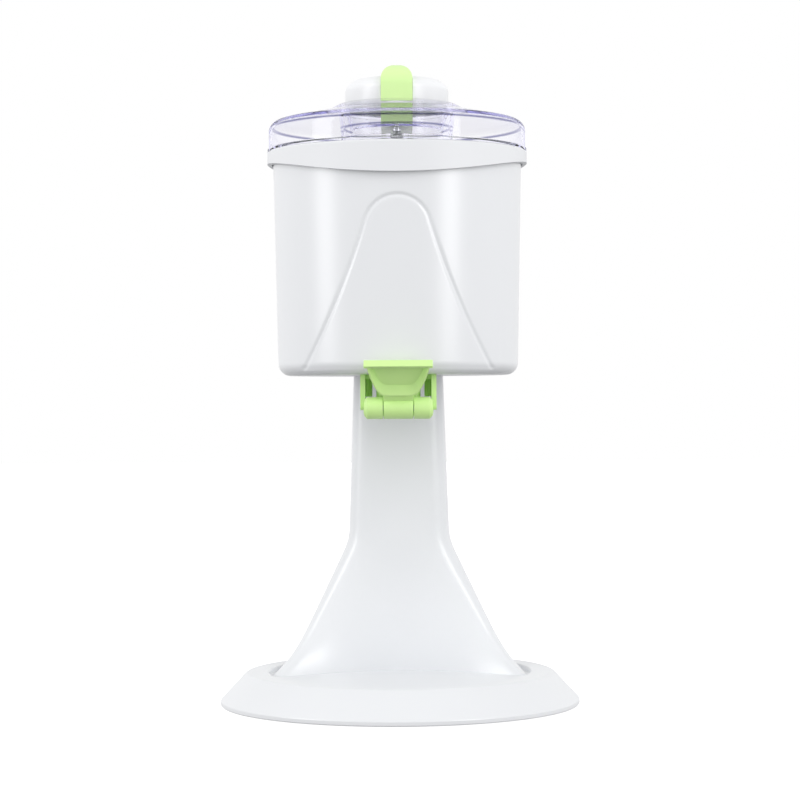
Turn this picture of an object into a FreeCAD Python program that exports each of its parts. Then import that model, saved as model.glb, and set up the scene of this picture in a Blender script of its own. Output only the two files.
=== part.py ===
import FreeCAD, Part
import math
import os

from FreeCAD import Vector

# Household soft-serve ice cream maker, millimetres.
# Origin at the middle of the base's underside, +Z up, the front faces -Y.

# Walls and fits
wall = 2.5
slip = 0.3
running_fit = 0.06
snug = 0.1
cut_past = 1.0
fine_round = 0.8
edge_round = 1.2
screw_radius = 1.5
screw_head_radius = 2.8
screw_head_height = 1.6
screw_slot_half = 0.4
screw_slot_depth = 0.8
screw_boss_radius = 4.0
screw_grip = 9.0
screw_hole_spare = 1.0

# Base
base_radius = 117.5
base_slope_run = 17.0
base_height = 22.5
base_lip = 3.0
base_edge_round = 4.0
tray_rim_width = 14.5
tray_depth = 3.0
tray_draft = 1.0
plate_thickness = 2.5
plate_screw_ring = 70.0
plate_screw_count = 4
pad_height = 1.5
pad_radius = 8.0
pad_stem_radius = 3.0
pad_inset = 2.5
pad_count = 4

# Cord gland at the back of the base
gland_lift = 1.0
gland_radius = 6.0
gland_bore = 3.6
gland_flange_rim = 1.8
gland_flange = 2.0
gland_boss_wall = 2.2
gland_boss_reach = 6.0
gland_setback = 3.0
gland_length = 13.0

# Column: upper part, then the flared foot
column_height = 196.5
column_half_width = 30.2
column_knee_half_width = 34.0
column_half_depth = 24.0
column_squareness = 4.2
column_knee_share = 0.44
column_wall = 2.6
column_floor = 3.0
column_screw_rise = 38.5
column_screw_drop = 32.0
column_screw_spread = 22.0
column_screw_sink = 5.0
column_boss_radius = 3.2
foot_gap = 2.4
foot_half_depth = 28.0
foot_shift = 9.0
foot_bend = 56.0
foot_bend_power = 1.6
foot_squareness = 2.6
foot_spread = 0.84
foot_lip_power = 10.0
foot_wall_growth = 2.2
foot_screw_spread = 35.1
foot_screw_setback = 8.0
foot_boss_height = 12.0
section_points = 32
section_shares = (0.0, 0.03, 0.07, 0.12, 0.18, 0.25, 0.32, 0.38, 0.44, 0.5, 0.58, 0.7, 0.85, 1.0)

# Power switch at the back of the column
switch_drop = 23.0
switch_width = 14.0
switch_tall = 22.0
switch_depth = 15.0
switch_flange = 2.0
switch_proud = 1.6
switch_wall = 1.6
switch_floor = 3.0
switch_round = 1.4
rocker_tilt = 8.0
rocker_pivot_radius = 1.3
rocker_pivot_depth = 1.5
rocker_pivot_bite = 0.8
rocker_belly = 5.0
rocker_belly_share = 0.55
rocker_belly_round = 2.0
rocker_crest = 2.4
rocker_dip = 1.0
rocker_end_gap = 0.9
rocker_round = 0.6
lead_radius = 2.2
lead_branch_radius = 1.8
lead_bend = 7.0

# Bucket
bucket_height = 140.0
bucket_foot_radius = 78.5
bucket_flare = 2.7
bucket_corner = 8.0
panel_half_width = 62.0
panel_height = 112.0
panel_top_round = 21.0
panel_lean = 17.0
panel_depth = 0.9
panel_foot_rise = 1.2

# Collar
collar_reach = 3.8
collar_rise = 6.0
collar_front_drop = 14.0
collar_side_drop = 1.7
collar_gap = 0.9
collar_mouth = 0.2

# Gear drive
gear_module = 1.0
pressure_angle = 20.0
tooth_addendum = 0.75
tooth_dedendum = 1.0
tooth_backlash = 0.16
tooth_curve_steps = 5
spindle_teeth = 48
small_teeth = 12
large_teeth = 40
motor_teeth = 14
motor_setback = 46.0
low_gear_rise = 2.5
low_gear_width = 4.5
gear_gap = 1.1
high_gear_width = 4.8
gear_rim = 4.0
gear_groove = 1.2
gear_hub_wall = 2.0
pinion_spare = 0.5
axle_radius = 2.0
axle_boss_wall = 3.0
axle_boss_gap = 0.4
axle_bite = 1.0
spindle_radius = 6.0
spindle_journal_radius = 4.0
spindle_boss_radius = 8.0
spindle_boss_gap = 1.2
spindle_foot_gap = 0.2
spindle_shoulder_gap = 0.6
spindle_hex = 9.6
spindle_drive_length = 22.0
hex_lap = 1.0
motor_shaft_radius = 2.5
motor_shaft_hole = 5.0
motor_shaft_depth = 10.0
motor_shaft_spare = 1.5
motor_bore_spare = 0.5
motor_radius = 18.0
motor_head_radius = 20.0
motor_head_length = 14.0
motor_length = 60.0
motor_nose_radius = 8.1
motor_nose = 3.0
motor_nose_round = 2.0
motor_plate_thickness = 3.0
motor_screw_half = 10.0
motor_screw_setback = 10.0
motor_screw_grip = 5.0
plate_screw_half = 22.0
plate_screw_setback = 10.0

# Deck over the gears
deck_gap = 1.6
deck_thickness = 3.0
deck_boss_inset = 12.5
deck_screw_count = 4
deck_port_gap = 1.0
bush_radius = 8.5
bush_flange_radius = 11.0
bush_flange_gap = 0.4
bush_lap = 0.5

# Freezer bowl
bowl_rim_drop = 4.0
bowl_rim_gap = 1.1
bowl_flange = 3.1
bowl_foot_gap = 3.5
jacket_wall = 2.0
jacket_flange = 1.5
jacket_round = 6.0
gel_depth = 12.0
gel_foot_width = 9.5
gel_top_width = 10.0
liner_wall = 1.5
liner_round = 3.5
liner_lip_round = 2.0
sleeve_rise = 14.0
sleeve_wall = 2.0
sleeve_bore = 8.0
shaft_seal_height = 6.0
port_setback = 44.0
port_radius = 9.0
port_tube_wall = 3.4
port_tube_gap = 3.5
port_seal_thickness = 0.7
port_seal_rise = 2.0
port_seal_height = 3.0

# Dasher
dasher_radius = 8.5
dasher_journal_radius = 4.3
dasher_journal = 8.0
skirt_wall = 2.6
skirt_gap = 1.0
skirt_height = 3.0
skirt_lap = 1.5
skirt_round = 2.0
neck_height = 12.0
neck_round = 6.0
hub_shoulder = 3.0
hub_round = 1.5
journal_round = 1.0
socket_gap = 0.24
socket_spare = 1.0
flight_reach = 15.5
flight_pitch = 42.0
flight_thickness = 2.4
flight_turns = 1.3
flight_start = 14.0
flight_steps = 24
frame_thickness = 4.0
frame_bar = 6.0
frame_top_drop = 9.0
frame_foot_gap = 2.6
frame_foot_round = 4.0
frame_top_round = 6.0
frame_rise = 10.0
frame_root = 3.0
frame_root_rise = 4.0
frame_skirt_rise = 2.0
window_round = 5.0
window_tip_round = 4.0
window_rise = 6.0
window_step = 8.0
blade_width = 4.0
blade_thickness = 2.0
blade_root = 2.0
blade_clearance = 0.6
blade_low_gap = 6.0
blade_top_gap = 8.0

# Clear lid
lid_inset = 1.0
lid_flange_inset = 0.2
lid_flange_height = 1.6
lid_flange_slope = 0.2
lid_wall = 2.2
lid_shoulder_rise = 19.0
lid_shoulder_round = 7.0
lid_crown_width = 10.0
lid_crown_rise = 8.2
lid_crown_round = 3.0
lid_rim_rise = 3.8
lid_skirt_gap = 0.5
lid_skirt_drop = 7.0
chute_gap = 2.1
chute_taper = 1.8
chute_length = 16.5
chute_ledge_drop = 5.5
chute_ledge = 1.0
chute_lip = 2.6
chute_draft = 0.4
chute_under = 2.8
lid_hub_radius = 8.0
lid_hub_drop = 5.0
lid_hub_rise = 1.0
lid_spoke_width = 5.0
lid_spoke_angles = (90, 210, 330)
lid_spoke_lap = 2.0
lid_spoke_root = 0.8
lid_seal_width = 3.8
lid_seal_inset = 0.2

# Feed cap
cap_radius = 33.9
cap_lift = 2.0
cap_height = 20.1
cap_shoulder_width = 6.4
cap_shoulder_drop = 4.8
cap_shoulder_round = 7.0
cap_crown_drop = 0.5
cap_crown_round = 4.0
cap_screw_setback = 14.0
cap_screw_grip = 7.0
cup_taper = 3.7
cup_depth = 11.3
cup_wall = 1.8
cup_round = 1.0
grip_width = 20.4
grip_rise = 6.9
grip_end_round = 13.0
grip_tongue = 24.0
grip_seat = 2.1

# Outlet block, gate, nozzle and lever
ear_half_width = 24.0
ear_thickness = 3.1
ear_lead = 6.5
ear_tail = 11.0
ear_height = 22.5
ear_cut = 8.0
ear_back_round = 5.0
ear_foot_round = 4.0
ear_front_round = 3.0
core_side = 3.0
core_lead = 11.5
core_tail = 12.5
core_height = 19.0
core_round = 3.0
block_flange = 3.0
spigot_wall = 2.65
spigot_gap = 0.95
spigot_rise = 15.0
spigot_root = 1.0
spigot_ledge = 1.0
outlet_screw_half = 20.0
outlet_screw_offset = 6.0
outlet_screw_grip = 11.0
outlet_boss_radius = 3.4
outlet_boss_spare = 2.0
nozzle_neck_wall = 2.6
nozzle_neck = 3.0
nozzle_rim = 1.8
nozzle_height = 7.5
nozzle_round = 1.4
nozzle_lip = 2.5
star_points = 6
star_inner_radius = 4.6
star_outer_radius = 8.2
star_round = 0.6
gate_drop = 9.0
gate_thickness = 3.0
gate_side = 2.0
gate_back_lap = 1.5
gate_lead = 3.0
gate_pocket_gap = 0.3
gate_arm_room = 0.6
gate_slot_gap = 0.55
gate_slot_top = 5.2
gate_pin_half = 9.0
cheek_half_width = 9.4
cheek_gap = 0.5
cheek_top_gap = 1.2
cheek_drop = 2.4
cheek_front = 2.2
hinge_lead = 13.5
hinge_drop = 21.2
hinge_radius = 2.0
hinge_pin_sink = 0.3
knuckle_radius = 6.9
knuckle_inner = 9.8
knuckle_outer = 21.5
knuckle_chamfer = 2.0
knuckle_gap = 0.4
knuckle_swing = 1.0
web_start = 3.0
web_lap = 6.0
web_half = 3.4
web_bite = 1.0
crank_radius = 16.0
crank_back_angle = 36.4
crank_pin_radius = 1.5
crank_half_width = 4.0
crank_arm_half = 2.6
crank_arm_round = 2.5
crank_side_gap = 1.2
lever_lean = 41.5
lever_length = 37.0
lever_neck_front = 1.2
lever_neck_back = 4.6
lever_neck_lap = 3.5
scoop_rim_half = 21.9
scoop_rim_foot_half = 12.0
scoop_floor_half = 16.0
scoop_floor_foot_half = 7.6
scoop_depth = 5.0
scoop_wall = 2.0
scoop_lip = 4.6
scoop_foot = 7.5
scoop_round = 5.0
scoop_back_rise = 1.5
scoop_back_round = 4.0
scoop_rim_wall = 1.4
scoop_rim_foot = 1.8
scoop_rim_foot_wall = 1.0
scoop_rim_round = 4.0
scoop_floor_rise = 8.5
scoop_floor_draft = 0.8
scoop_floor_drop = 1.0
scoop_floor_round = 3.0
scoop_top_round = 1.0

# Base, column and switch places that follow from the sizes above
base_rim_radius = base_radius - base_slope_run
tray_radius = base_rim_radius - tray_rim_width
tray_height = base_height - tray_depth
plate_top = pad_height + plate_thickness
lip_top = pad_height + base_lip
pad_ring = base_rim_radius - pad_inset
gland_height = (pad_height + base_height) / 2 + gland_lift
gland_flange_radius = gland_radius + gland_flange_rim
gland_boss_radius = gland_radius + gland_boss_wall
foot_half_width = tray_radius - foot_gap
column_middle = motor_setback
column_top = tray_height + column_height
column_screw_heights = (tray_height + column_screw_rise, column_top - column_screw_drop)
plate_underside = column_top - motor_plate_thickness
motor_foot = plate_underside - motor_length
switch_height = motor_foot - switch_drop

# Bucket, gear, deck and bowl places
bucket_floor_height = column_top
bucket_inside = bucket_floor_height + wall
bucket_top_height = bucket_floor_height + bucket_height
bucket_top_radius = bucket_foot_radius + bucket_flare
panel_top_height = bucket_floor_height + panel_height
collar_radius = bucket_top_radius + collar_reach
collar_top_height = bucket_top_height + collar_rise
collar_low_height = bucket_top_height - collar_front_drop
collar_high_height = bucket_top_height - collar_side_drop
low_gear_height = bucket_inside + low_gear_rise
high_gear_height = low_gear_height + low_gear_width + gear_gap
deck_height = high_gear_height + high_gear_width + deck_gap
deck_top = deck_height + deck_thickness
deck_boss_ring = bucket_foot_radius - deck_boss_inset
bowl_rim_height = bucket_top_height - bowl_rim_drop
bowl_rim_radius = bucket_top_radius - wall - bowl_rim_gap
bowl_top_radius = bowl_rim_radius - bowl_flange
bowl_foot_radius = bucket_foot_radius - wall - bowl_foot_gap
liner_floor_height = deck_top + gel_depth
liner_foot_radius = bowl_foot_radius - jacket_wall - gel_foot_width - liner_wall
liner_top_radius = bowl_top_radius - jacket_wall - gel_top_width - liner_wall
sleeve_height = liner_floor_height + sleeve_rise
sleeve_radius = sleeve_bore + sleeve_wall
port_tube_radius = port_radius + port_tube_wall
port_tube_bottom = bucket_inside + port_tube_gap
stage_one = gear_module * (spindle_teeth + small_teeth) / 2
stage_two = gear_module * (large_teeth + motor_teeth) / 2
idler_y = (stage_one ** 2 - stage_two ** 2 + motor_setback ** 2) / (2 * motor_setback)
idler_x = math.sqrt(stage_one ** 2 - idler_y ** 2)

# Lid, cap and dasher places
chute_top_radius = cap_radius + chute_gap
chute_foot_radius = chute_top_radius - chute_taper
lid_radius = collar_radius - lid_inset
lid_flange_radius = collar_radius - lid_flange_inset
lid_crown_radius = chute_top_radius + lid_crown_width
lid_skirt_radius = bucket_top_radius - wall - lid_skirt_gap
lid_shoulder_height = collar_top_height + lid_shoulder_rise
lid_crown_height = lid_shoulder_height + lid_crown_rise
lid_rim_height = lid_crown_height + lid_rim_rise
lid_skirt_height = collar_top_height - lid_skirt_drop
chute_ledge_height = lid_rim_height - chute_ledge_drop
chute_foot_height = chute_ledge_height - chute_length
lid_hub_height = chute_foot_height - lid_hub_drop
cap_foot_height = chute_ledge_height + cap_lift
cap_top_height = cap_foot_height + cap_height
cap_shoulder_radius = cap_radius - cap_shoulder_width
cup_foot_radius = cap_radius - cup_taper
cup_foot_height = chute_ledge_height - cup_depth
grip_top_height = cap_top_height + grip_rise
grip_seat_height = cap_foot_height + grip_seat
dasher_top_height = lid_hub_height + dasher_journal
dasher_skirt_radius = sleeve_radius + skirt_gap + skirt_wall
dasher_floor = liner_floor_height + frame_foot_gap
flight_radius = dasher_radius + flight_reach
frame_top_height = bowl_rim_height - frame_top_drop

# Outlet places
gate_half_width = port_radius + gate_side
core_half_width = gate_half_width + core_side
core_front = port_setback + core_lead
core_back = port_setback - core_tail
core_foot_height = bucket_floor_height - core_height
ear_front = core_front + ear_lead
ear_back = port_setback - ear_tail
ear_foot_height = bucket_floor_height - ear_height
spigot_radius = port_tube_radius + spigot_gap + spigot_wall
spigot_top_height = bucket_floor_height + spigot_rise
outlet_screw_setback = port_setback - outlet_screw_offset
nozzle_neck_radius = port_radius + nozzle_neck_wall
nozzle_radius = nozzle_neck_radius + nozzle_rim
nozzle_foot_height = core_foot_height - nozzle_height
gate_height = bucket_floor_height - gate_drop
hinge_setback = core_front + hinge_lead
hinge_height = bucket_floor_height - hinge_drop
crank_pin_y = -hinge_setback + crank_radius * math.sin(math.radians(crank_back_angle))
crank_pin_z = hinge_height + crank_radius * math.cos(math.radians(crank_back_angle))
gate_front = -crank_pin_y + crank_pin_radius + cheek_front
gate_back = -port_setback + port_radius + gate_back_lap

axis_x = Vector(1, 0, 0)
axis_y = Vector(0, 1, 0)
axis_z = Vector(0, 0, 1)


# Drawing helpers

def on_floor(p):
    return Vector(p.x, p.y, 0)


def facing_front(p):
    return Vector(p.x, 0, p.y)


def facing_side(p):
    return Vector(0, p.x, p.y)


def outline(points, place):
    """Closed wire through (u, v) points; a third number rounds that corner."""
    corners = [Vector(p[0], p[1], 0) for p in points]
    rounds = [p[2] if len(p) > 2 else 0.0 for p in points]
    count = len(corners)
    stops = []
    for i in range(count):
        corner = corners[i]
        back = (corners[i - 1] - corner).normalize()
        ahead = (corners[(i + 1) % count] - corner).normalize()
        if rounds[i] == 0.0:
            stops.append((corner, None, corner))
            continue
        half = back.getAngle(ahead) / 2
        run = rounds[i] / math.tan(half)
        inward = (back + ahead).normalize()
        middle = corner + inward * (rounds[i] / math.sin(half) - rounds[i])
        stops.append((corner + back * run, middle, corner + ahead * run))
    edges = []
    for i in range(count):
        start, middle, end = stops[i]
        if middle is not None:
            arc = Part.Arc(place(start), place(middle), place(end))
            edges.append(arc.toShape())
        following = stops[(i + 1) % count][0]
        if end.distanceToPoint(following) > 1e-6:
            edges.append(Part.LineSegment(place(end), place(following)).toShape())
    return Part.Wire(edges)


def turned(points):
    """Solid of revolution about Z from a half section of (radius, height) points."""
    face = Part.Face(outline(points, facing_front))
    return face.revolve(Vector(0, 0, 0), axis_z, 360)


def rod(radius, low, high, x=0.0, y=0.0):
    return Part.makeCylinder(radius, high - low, Vector(x, y, low))


def cross_rod(radius, half_length, y, z):
    return Part.makeCylinder(radius, 2 * half_length, Vector(-half_length, y, z), axis_x)


def depth_rod(radius, front, back, x, z):
    return Part.makeCylinder(radius, back - front, Vector(x, front, z), axis_y)


def block(x0, x1, y0, y1, z0, z1):
    return Part.makeBox(x1 - x0, y1 - y0, z1 - z0, Vector(x0, y0, z0))


def ring_places(radius, count, start=45.0):
    places = []
    for i in range(count):
        angle = math.radians(start + 360.0 * i / count)
        places.append((radius * math.cos(angle), radius * math.sin(angle)))
    return places


def screw(tip, head, x, y, flat=False):
    """Upright screw; the head lies above its seat when tip is below head."""
    side = 1.0 if head > tip else -1.0
    start = head - side * screw_head_height if flat else head
    end = start + side * screw_head_height
    slot_floor = end - side * screw_slot_depth
    slot_mouth = end + side * cut_past
    shank = rod(screw_radius, min(tip, head), max(tip, head), x, y)
    cap = rod(screw_head_radius, min(start, end), max(start, end), x, y)
    slot = block(x - screw_head_radius, x + screw_head_radius, y - screw_slot_half, y + screw_slot_half,
                 min(slot_floor, slot_mouth), max(slot_floor, slot_mouth))
    return shank.fuse(cap).cut(slot).removeSplitter()


def merged(shapes):
    result = shapes[0]
    if len(shapes) > 1:
        result = result.fuse(shapes[1:])
    return result.removeSplitter()


# Base

def slope_inside(height):
    """Inner radius of the sloped side at a height."""
    lean = (base_radius - base_rim_radius) / (base_height - lip_top)
    return base_radius - (height - lip_top) * lean - wall * math.sqrt(1 + lean * lean)


def base_screw_places():
    return ring_places(plate_screw_ring, plate_screw_count)


def foot_screw_places():
    y = column_middle + foot_screw_setback
    return [(-foot_screw_spread, y), (foot_screw_spread, y)]


def make_base_shell():
    under = base_height - wall
    shell = turned([
        (base_radius, pad_height, fine_round),
        (base_radius, lip_top, edge_round),
        (base_rim_radius, base_height, base_edge_round),
        (tray_radius, base_height, edge_round),
        (tray_radius - tray_draft, tray_height, fine_round),
        (0, tray_height),
        (0, tray_height - wall),
        (tray_radius - tray_draft + wall, tray_height - wall),
        (tray_radius + wall, under),
        (slope_inside(under), under),
        (slope_inside(lip_top), lip_top),
        (slope_inside(lip_top), pad_height),
    ])
    boss_face = base_radius - gland_setback
    boss_start = slope_inside(gland_height) - gland_boss_reach
    shell = shell.fuse(depth_rod(gland_boss_radius, boss_start, boss_face, 0, gland_height))
    for x, y in base_screw_places():
        shell = shell.fuse(rod(screw_boss_radius, plate_top, tray_height - wall / 2, x, y))
    shell = shell.cut(depth_rod(gland_radius, boss_start - cut_past, base_radius, 0, gland_height))
    shell = shell.cut(depth_rod(gland_flange_radius + slip, boss_face, base_radius + cut_past,
                                0, gland_height))
    for x, y in base_screw_places():
        shell = shell.cut(rod(screw_radius, plate_top, tray_height - wall, x, y))
    for x, y in foot_screw_places():
        shell = shell.cut(rod(screw_radius + slip, 0, base_height, x, y))
    shell = shell.cut(rod(gland_radius, 0, base_height, 0, column_middle))
    return shell.removeSplitter()


def pad_places():
    return ring_places(pad_ring, pad_count)


def make_base_plate():
    plate = rod(slope_inside(lip_top) - slip, pad_height, plate_top)
    for x, y in pad_places():
        plate = plate.cut(rod(pad_stem_radius, 0, base_height, x, y))
    for x, y in base_screw_places():
        plate = plate.cut(rod(screw_radius + slip, 0, base_height, x, y))
        recess = rod(screw_head_radius + slip, 0, pad_height + screw_head_height, x, y)
        plate = plate.cut(recess)
    return plate


def make_rubber_feet():
    feet = []
    for x, y in pad_places():
        pad = rod(pad_radius, 0, pad_height, x, y)
        feet.append(pad.fuse(rod(pad_stem_radius, 0, plate_top, x, y)).removeSplitter())
    return Part.makeCompound(feet)


def make_base_screws():
    seat = pad_height + screw_head_height
    reach = tray_height - wall
    return Part.makeCompound([screw(reach, seat, x, y) for x, y in base_screw_places()])


def make_cord_gland():
    face = base_radius - gland_setback
    bush = depth_rod(gland_radius, face - gland_length, face, 0, gland_height)
    bush = bush.fuse(depth_rod(gland_flange_radius, face, face + gland_flange, 0, gland_height))
    hole = depth_rod(gland_bore, face - gland_length, base_radius, 0, gland_height)
    return bush.cut(hole).removeSplitter()


# Column

def flare_share(share):
    """How far the foot has spread, 0 at the knee to 1 on the tray."""
    if share >= column_knee_share:
        return 0.0
    down = 1.0 - share / column_knee_share
    return foot_spread * down + (1.0 - foot_spread) * down ** foot_lip_power


class ColumnSection:
    """Bent superellipse: the column's outline at one height."""

    def __init__(self, height, inset=0.0):
        share = (height - tray_height) / (column_top - tray_height)
        flare = flare_share(share)
        taper = min(1.0, (1.0 - share) / (1.0 - column_knee_share))
        half = column_half_width + (column_knee_half_width - column_half_width) * taper
        half = half + (foot_half_width - half) * flare
        depth = column_half_depth + (foot_half_depth - column_half_depth) * flare
        self.height = height
        self.half = half - inset * (1.0 + foot_wall_growth * flare)
        self.depth = depth - inset
        self.power = column_squareness + (foot_squareness - column_squareness) * flare
        self.bend = foot_bend * flare ** foot_bend_power * (self.half / half) ** 2
        self.middle = column_middle + foot_shift * flare

    def point(self, angle):
        c = math.copysign(abs(math.cos(angle)) ** (2 / self.power), math.cos(angle))
        s = math.copysign(abs(math.sin(angle)) ** (2 / self.power), math.sin(angle))
        return Vector(self.half * c, self.middle + self.depth * s - self.bend * c * c, self.height)

    def wall_at(self, x, side):
        """Y of the front (side -1) or back (side +1) wall at a distance from the middle."""
        c = abs(x) / self.half
        s = (1.0 - c ** self.power) ** (1.0 / self.power)
        return self.middle + side * self.depth * s - self.bend * c * c

    def points(self):
        start = -math.pi / 2
        return [self.point(start + 2 * math.pi * i / section_points) for i in range(section_points)]

    def wire(self):
        curve = Part.BSplineCurve()
        curve.buildFromPoles(self.points(), True, 3)
        return Part.Wire(curve.toShape())


def column_solid(inset, low, high):
    """Smooth solid drawn through the column's sections by their control points."""
    rows = [ColumnSection(low + (high - low) * share, inset).points() for share in section_shares]
    around = len(rows[0])
    up = len(rows)
    poles = [[rows[v][u] for v in range(up)] for u in range(around)]
    skin = Part.BSplineSurface()
    cubic = 3
    ends = [cubic + 1]
    skin.buildFromPolesMultsKnots(poles, [1] * (around + 1), ends + [1] * (up - cubic - 1) + ends,
                                  range(around + 1), range(up - cubic + 1), True, False, cubic, cubic)
    side = skin.toShape()
    caps = []
    for edge in side.Edges:
        if edge.BoundBox.ZLength < slip:
            caps.append(Part.Face(Part.Wire(edge)))
    shell = Part.Shell([side] + caps)
    shell.sewShape()
    return Part.Solid(shell)


def column_screw_places():
    return [(x, z) for z in column_screw_heights
            for x in (-column_screw_spread, column_screw_spread)]


def boss_walls(x, z, side):
    """Y of the outer wall along both edges of a screw boss."""
    section = ColumnSection(z)
    return [section.wall_at(x - column_boss_radius, side), section.wall_at(x + column_boss_radius, side)]


def screw_seat(x, z):
    return ColumnSection(z).wall_at(x, 1) - column_screw_sink


def make_column_shell():
    outer = column_solid(0.0, tray_height, column_top)
    inner = column_solid(column_wall, tray_height + column_floor, column_top + cut_past)
    shell = outer.cut(inner)
    return shell.cut(rod(gland_radius, 0, tray_height + 2 * column_floor, 0, column_middle))


def make_column_front():
    far = 2 * base_radius
    front = make_column_shell().common(block(-far, far, -far, column_middle, 0, far))
    for x, z in column_screw_places():
        start = max(boss_walls(x, z, -1)) + column_wall / 2
        front = front.fuse(depth_rod(column_boss_radius, start, column_middle, x, z))
    for x, z in column_screw_places():
        front = front.cut(depth_rod(screw_radius, column_middle - screw_grip, column_middle, x, z))
    return front


def make_column_rear():
    far = 2 * base_radius
    rear = make_column_shell().common(block(-far, far, column_middle, far, 0, far))
    for x, z in column_screw_places():
        end = min(boss_walls(x, z, 1)) - column_wall / 2
        rear = rear.fuse(depth_rod(column_boss_radius, column_middle, end, x, z))
    for x, y in foot_screw_places():
        rear = rear.fuse(rod(screw_boss_radius, tray_height + column_floor / 2,
                             tray_height + foot_boss_height, x, y))
    for x, z in column_screw_places():
        rear = rear.cut(depth_rod(screw_radius + slip, column_middle, far, x, z))
        rear = rear.cut(depth_rod(screw_head_radius + slip, screw_seat(x, z), far, x, z))
    for x, y in foot_screw_places():
        rear = rear.cut(rod(screw_radius, tray_height, tray_height + screw_grip + screw_hole_spare, x, y))
    return rear.cut(block(-switch_width / 2, switch_width / 2, column_middle, far,
                          switch_height - switch_tall / 2, switch_height + switch_tall / 2))


def column_back(height):
    """Y of the column's back wall on its middle line at a height."""
    return ColumnSection(height).wall_at(0.0, 1)


def make_column_screws():
    screws = []
    for x, z in column_screw_places():
        seat = screw_seat(x, z)
        shank = depth_rod(screw_radius, column_middle - screw_grip + screw_hole_spare, seat, x, z)
        head = depth_rod(screw_head_radius, seat, seat + screw_head_height, x, z)
        slot = block(x - screw_head_radius, x + screw_head_radius,
                     seat + screw_head_height - screw_slot_depth, seat + screw_head_height,
                     z - screw_slot_half, z + screw_slot_half)
        screws.append(shank.fuse(head).cut(slot).removeSplitter())
    return Part.makeCompound(screws)


def make_foot_screws():
    seat = tray_height - wall
    return Part.makeCompound([screw(tray_height + screw_grip, seat, x, y)
                              for x, y in foot_screw_places()])


# Power switch

def make_switch_bezel():
    back = column_back(switch_height)
    half_x = switch_width / 2
    half_z = switch_tall / 2
    rim = block(-half_x - switch_flange, half_x + switch_flange, back, back + switch_proud,
                switch_height - half_z - switch_flange, switch_height + half_z + switch_flange)
    rim = rim.makeFillet(switch_round, [e for e in rim.Edges if e.BoundBox.YLength > slip])
    case = block(-half_x + snug, half_x - snug, back - switch_depth, back,
                 switch_height - half_z + snug, switch_height + half_z - snug)
    bezel = rim.fuse(case)
    hollow = block(-half_x + switch_wall, half_x - switch_wall, back - switch_depth + switch_floor,
                   back + switch_depth, switch_height - half_z + switch_wall,
                   switch_height + half_z - switch_wall)
    bezel = bezel.cut(hollow)
    bezel = bezel.cut(cross_rod(rocker_pivot_radius + running_fit, half_x - rocker_pivot_bite,
                                back - rocker_pivot_depth, switch_height))
    return bezel.removeSplitter()


def make_switch_rocker():
    back = column_back(switch_height)
    half_x = switch_width / 2 - switch_wall - slip
    half_z = switch_tall / 2 - switch_wall - rocker_end_gap
    belly = half_z * rocker_belly_share
    wide = outline([
        (back - rocker_belly, switch_height - belly, rocker_belly_round),
        (back - rocker_belly, switch_height + belly, rocker_belly_round),
        (back + rocker_dip, switch_height + half_z, rocker_round),
        (back + rocker_crest, switch_height + half_z, rocker_round),
        (back + rocker_dip, switch_height),
        (back + rocker_crest, switch_height - half_z, rocker_round),
        (back + rocker_dip, switch_height - half_z, rocker_round),
    ], facing_side)
    wide.translate(Vector(-half_x, 0, 0))
    rocker = Part.Face(wide).extrude(Vector(2 * half_x, 0, 0))
    pivot_y = back - rocker_pivot_depth
    pivot_half = switch_width / 2 - rocker_pivot_bite - snug
    pivot = cross_rod(rocker_pivot_radius, pivot_half, pivot_y, switch_height)
    rocker = rocker.fuse(pivot).removeSplitter()
    rocker.rotate(Vector(0, pivot_y, switch_height), axis_x, -rocker_tilt)
    return rocker


def make_lead_sleeve():
    """Sleeved leads from the gland up to the switch and the motor."""
    start = base_radius - gland_setback - gland_length
    turn = lead_bend
    corner = Vector(0, column_middle, gland_height)
    before = corner + Vector(0, turn, 0)
    after = corner + Vector(0, 0, turn)
    dip = turn * (1 - math.sqrt(0.5))
    middle = corner + Vector(0, dip, dip)
    end = Vector(0, column_middle, motor_foot)
    path = Part.Wire([
        Part.LineSegment(Vector(0, start, gland_height), before).toShape(),
        Part.Arc(before, middle, after).toShape(),
        Part.LineSegment(after, end).toShape(),
    ])
    ring = Part.Wire(Part.makeCircle(lead_radius, Vector(0, start, gland_height), axis_y))
    sleeve = path.makePipeShell([ring], True, True)
    branch = depth_rod(lead_branch_radius, column_middle, column_back(switch_height) - switch_depth,
                       0, switch_height)
    return sleeve.fuse(branch)


# Bucket and collar

def panel_wire():
    """Bell-shaped outline of the front panel, drawn on the XZ plane."""
    lean = math.radians(panel_lean)
    centre_z = panel_top_height - panel_top_round
    join = Vector(panel_top_round * math.cos(lean), centre_z + panel_top_round * math.sin(lean), 0)
    foot = Vector(panel_half_width, bucket_floor_height + panel_foot_rise, 0)
    normal = Vector(math.cos(lean), math.sin(lean), 0)
    reach = foot - join
    radius = reach.dot(reach) / (2 * reach.dot(normal))
    centre = join + normal * radius
    chord_middle = (join + foot) * 0.5
    middle = centre + (chord_middle - centre).normalize() * radius

    def at(x, z):
        return Vector(x, 0, z)

    edges = [
        Part.LineSegment(at(-foot.x, foot.y), at(foot.x, foot.y)).toShape(),
        Part.Arc(at(foot.x, foot.y), at(middle.x, middle.y), at(join.x, join.y)).toShape(),
        Part.Arc(at(join.x, join.y), at(0, panel_top_height), at(-join.x, join.y)).toShape(),
        Part.Arc(at(-join.x, join.y), at(-middle.x, middle.y), at(-foot.x, foot.y)).toShape(),
    ]
    return Part.Wire(edges)


def bucket_solid(inset):
    return turned([
        (0, bucket_floor_height + inset),
        (bucket_foot_radius - inset, bucket_floor_height + inset, bucket_corner - inset),
        (bucket_top_radius - inset, bucket_top_height),
        (0, bucket_top_height),
    ])


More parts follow.
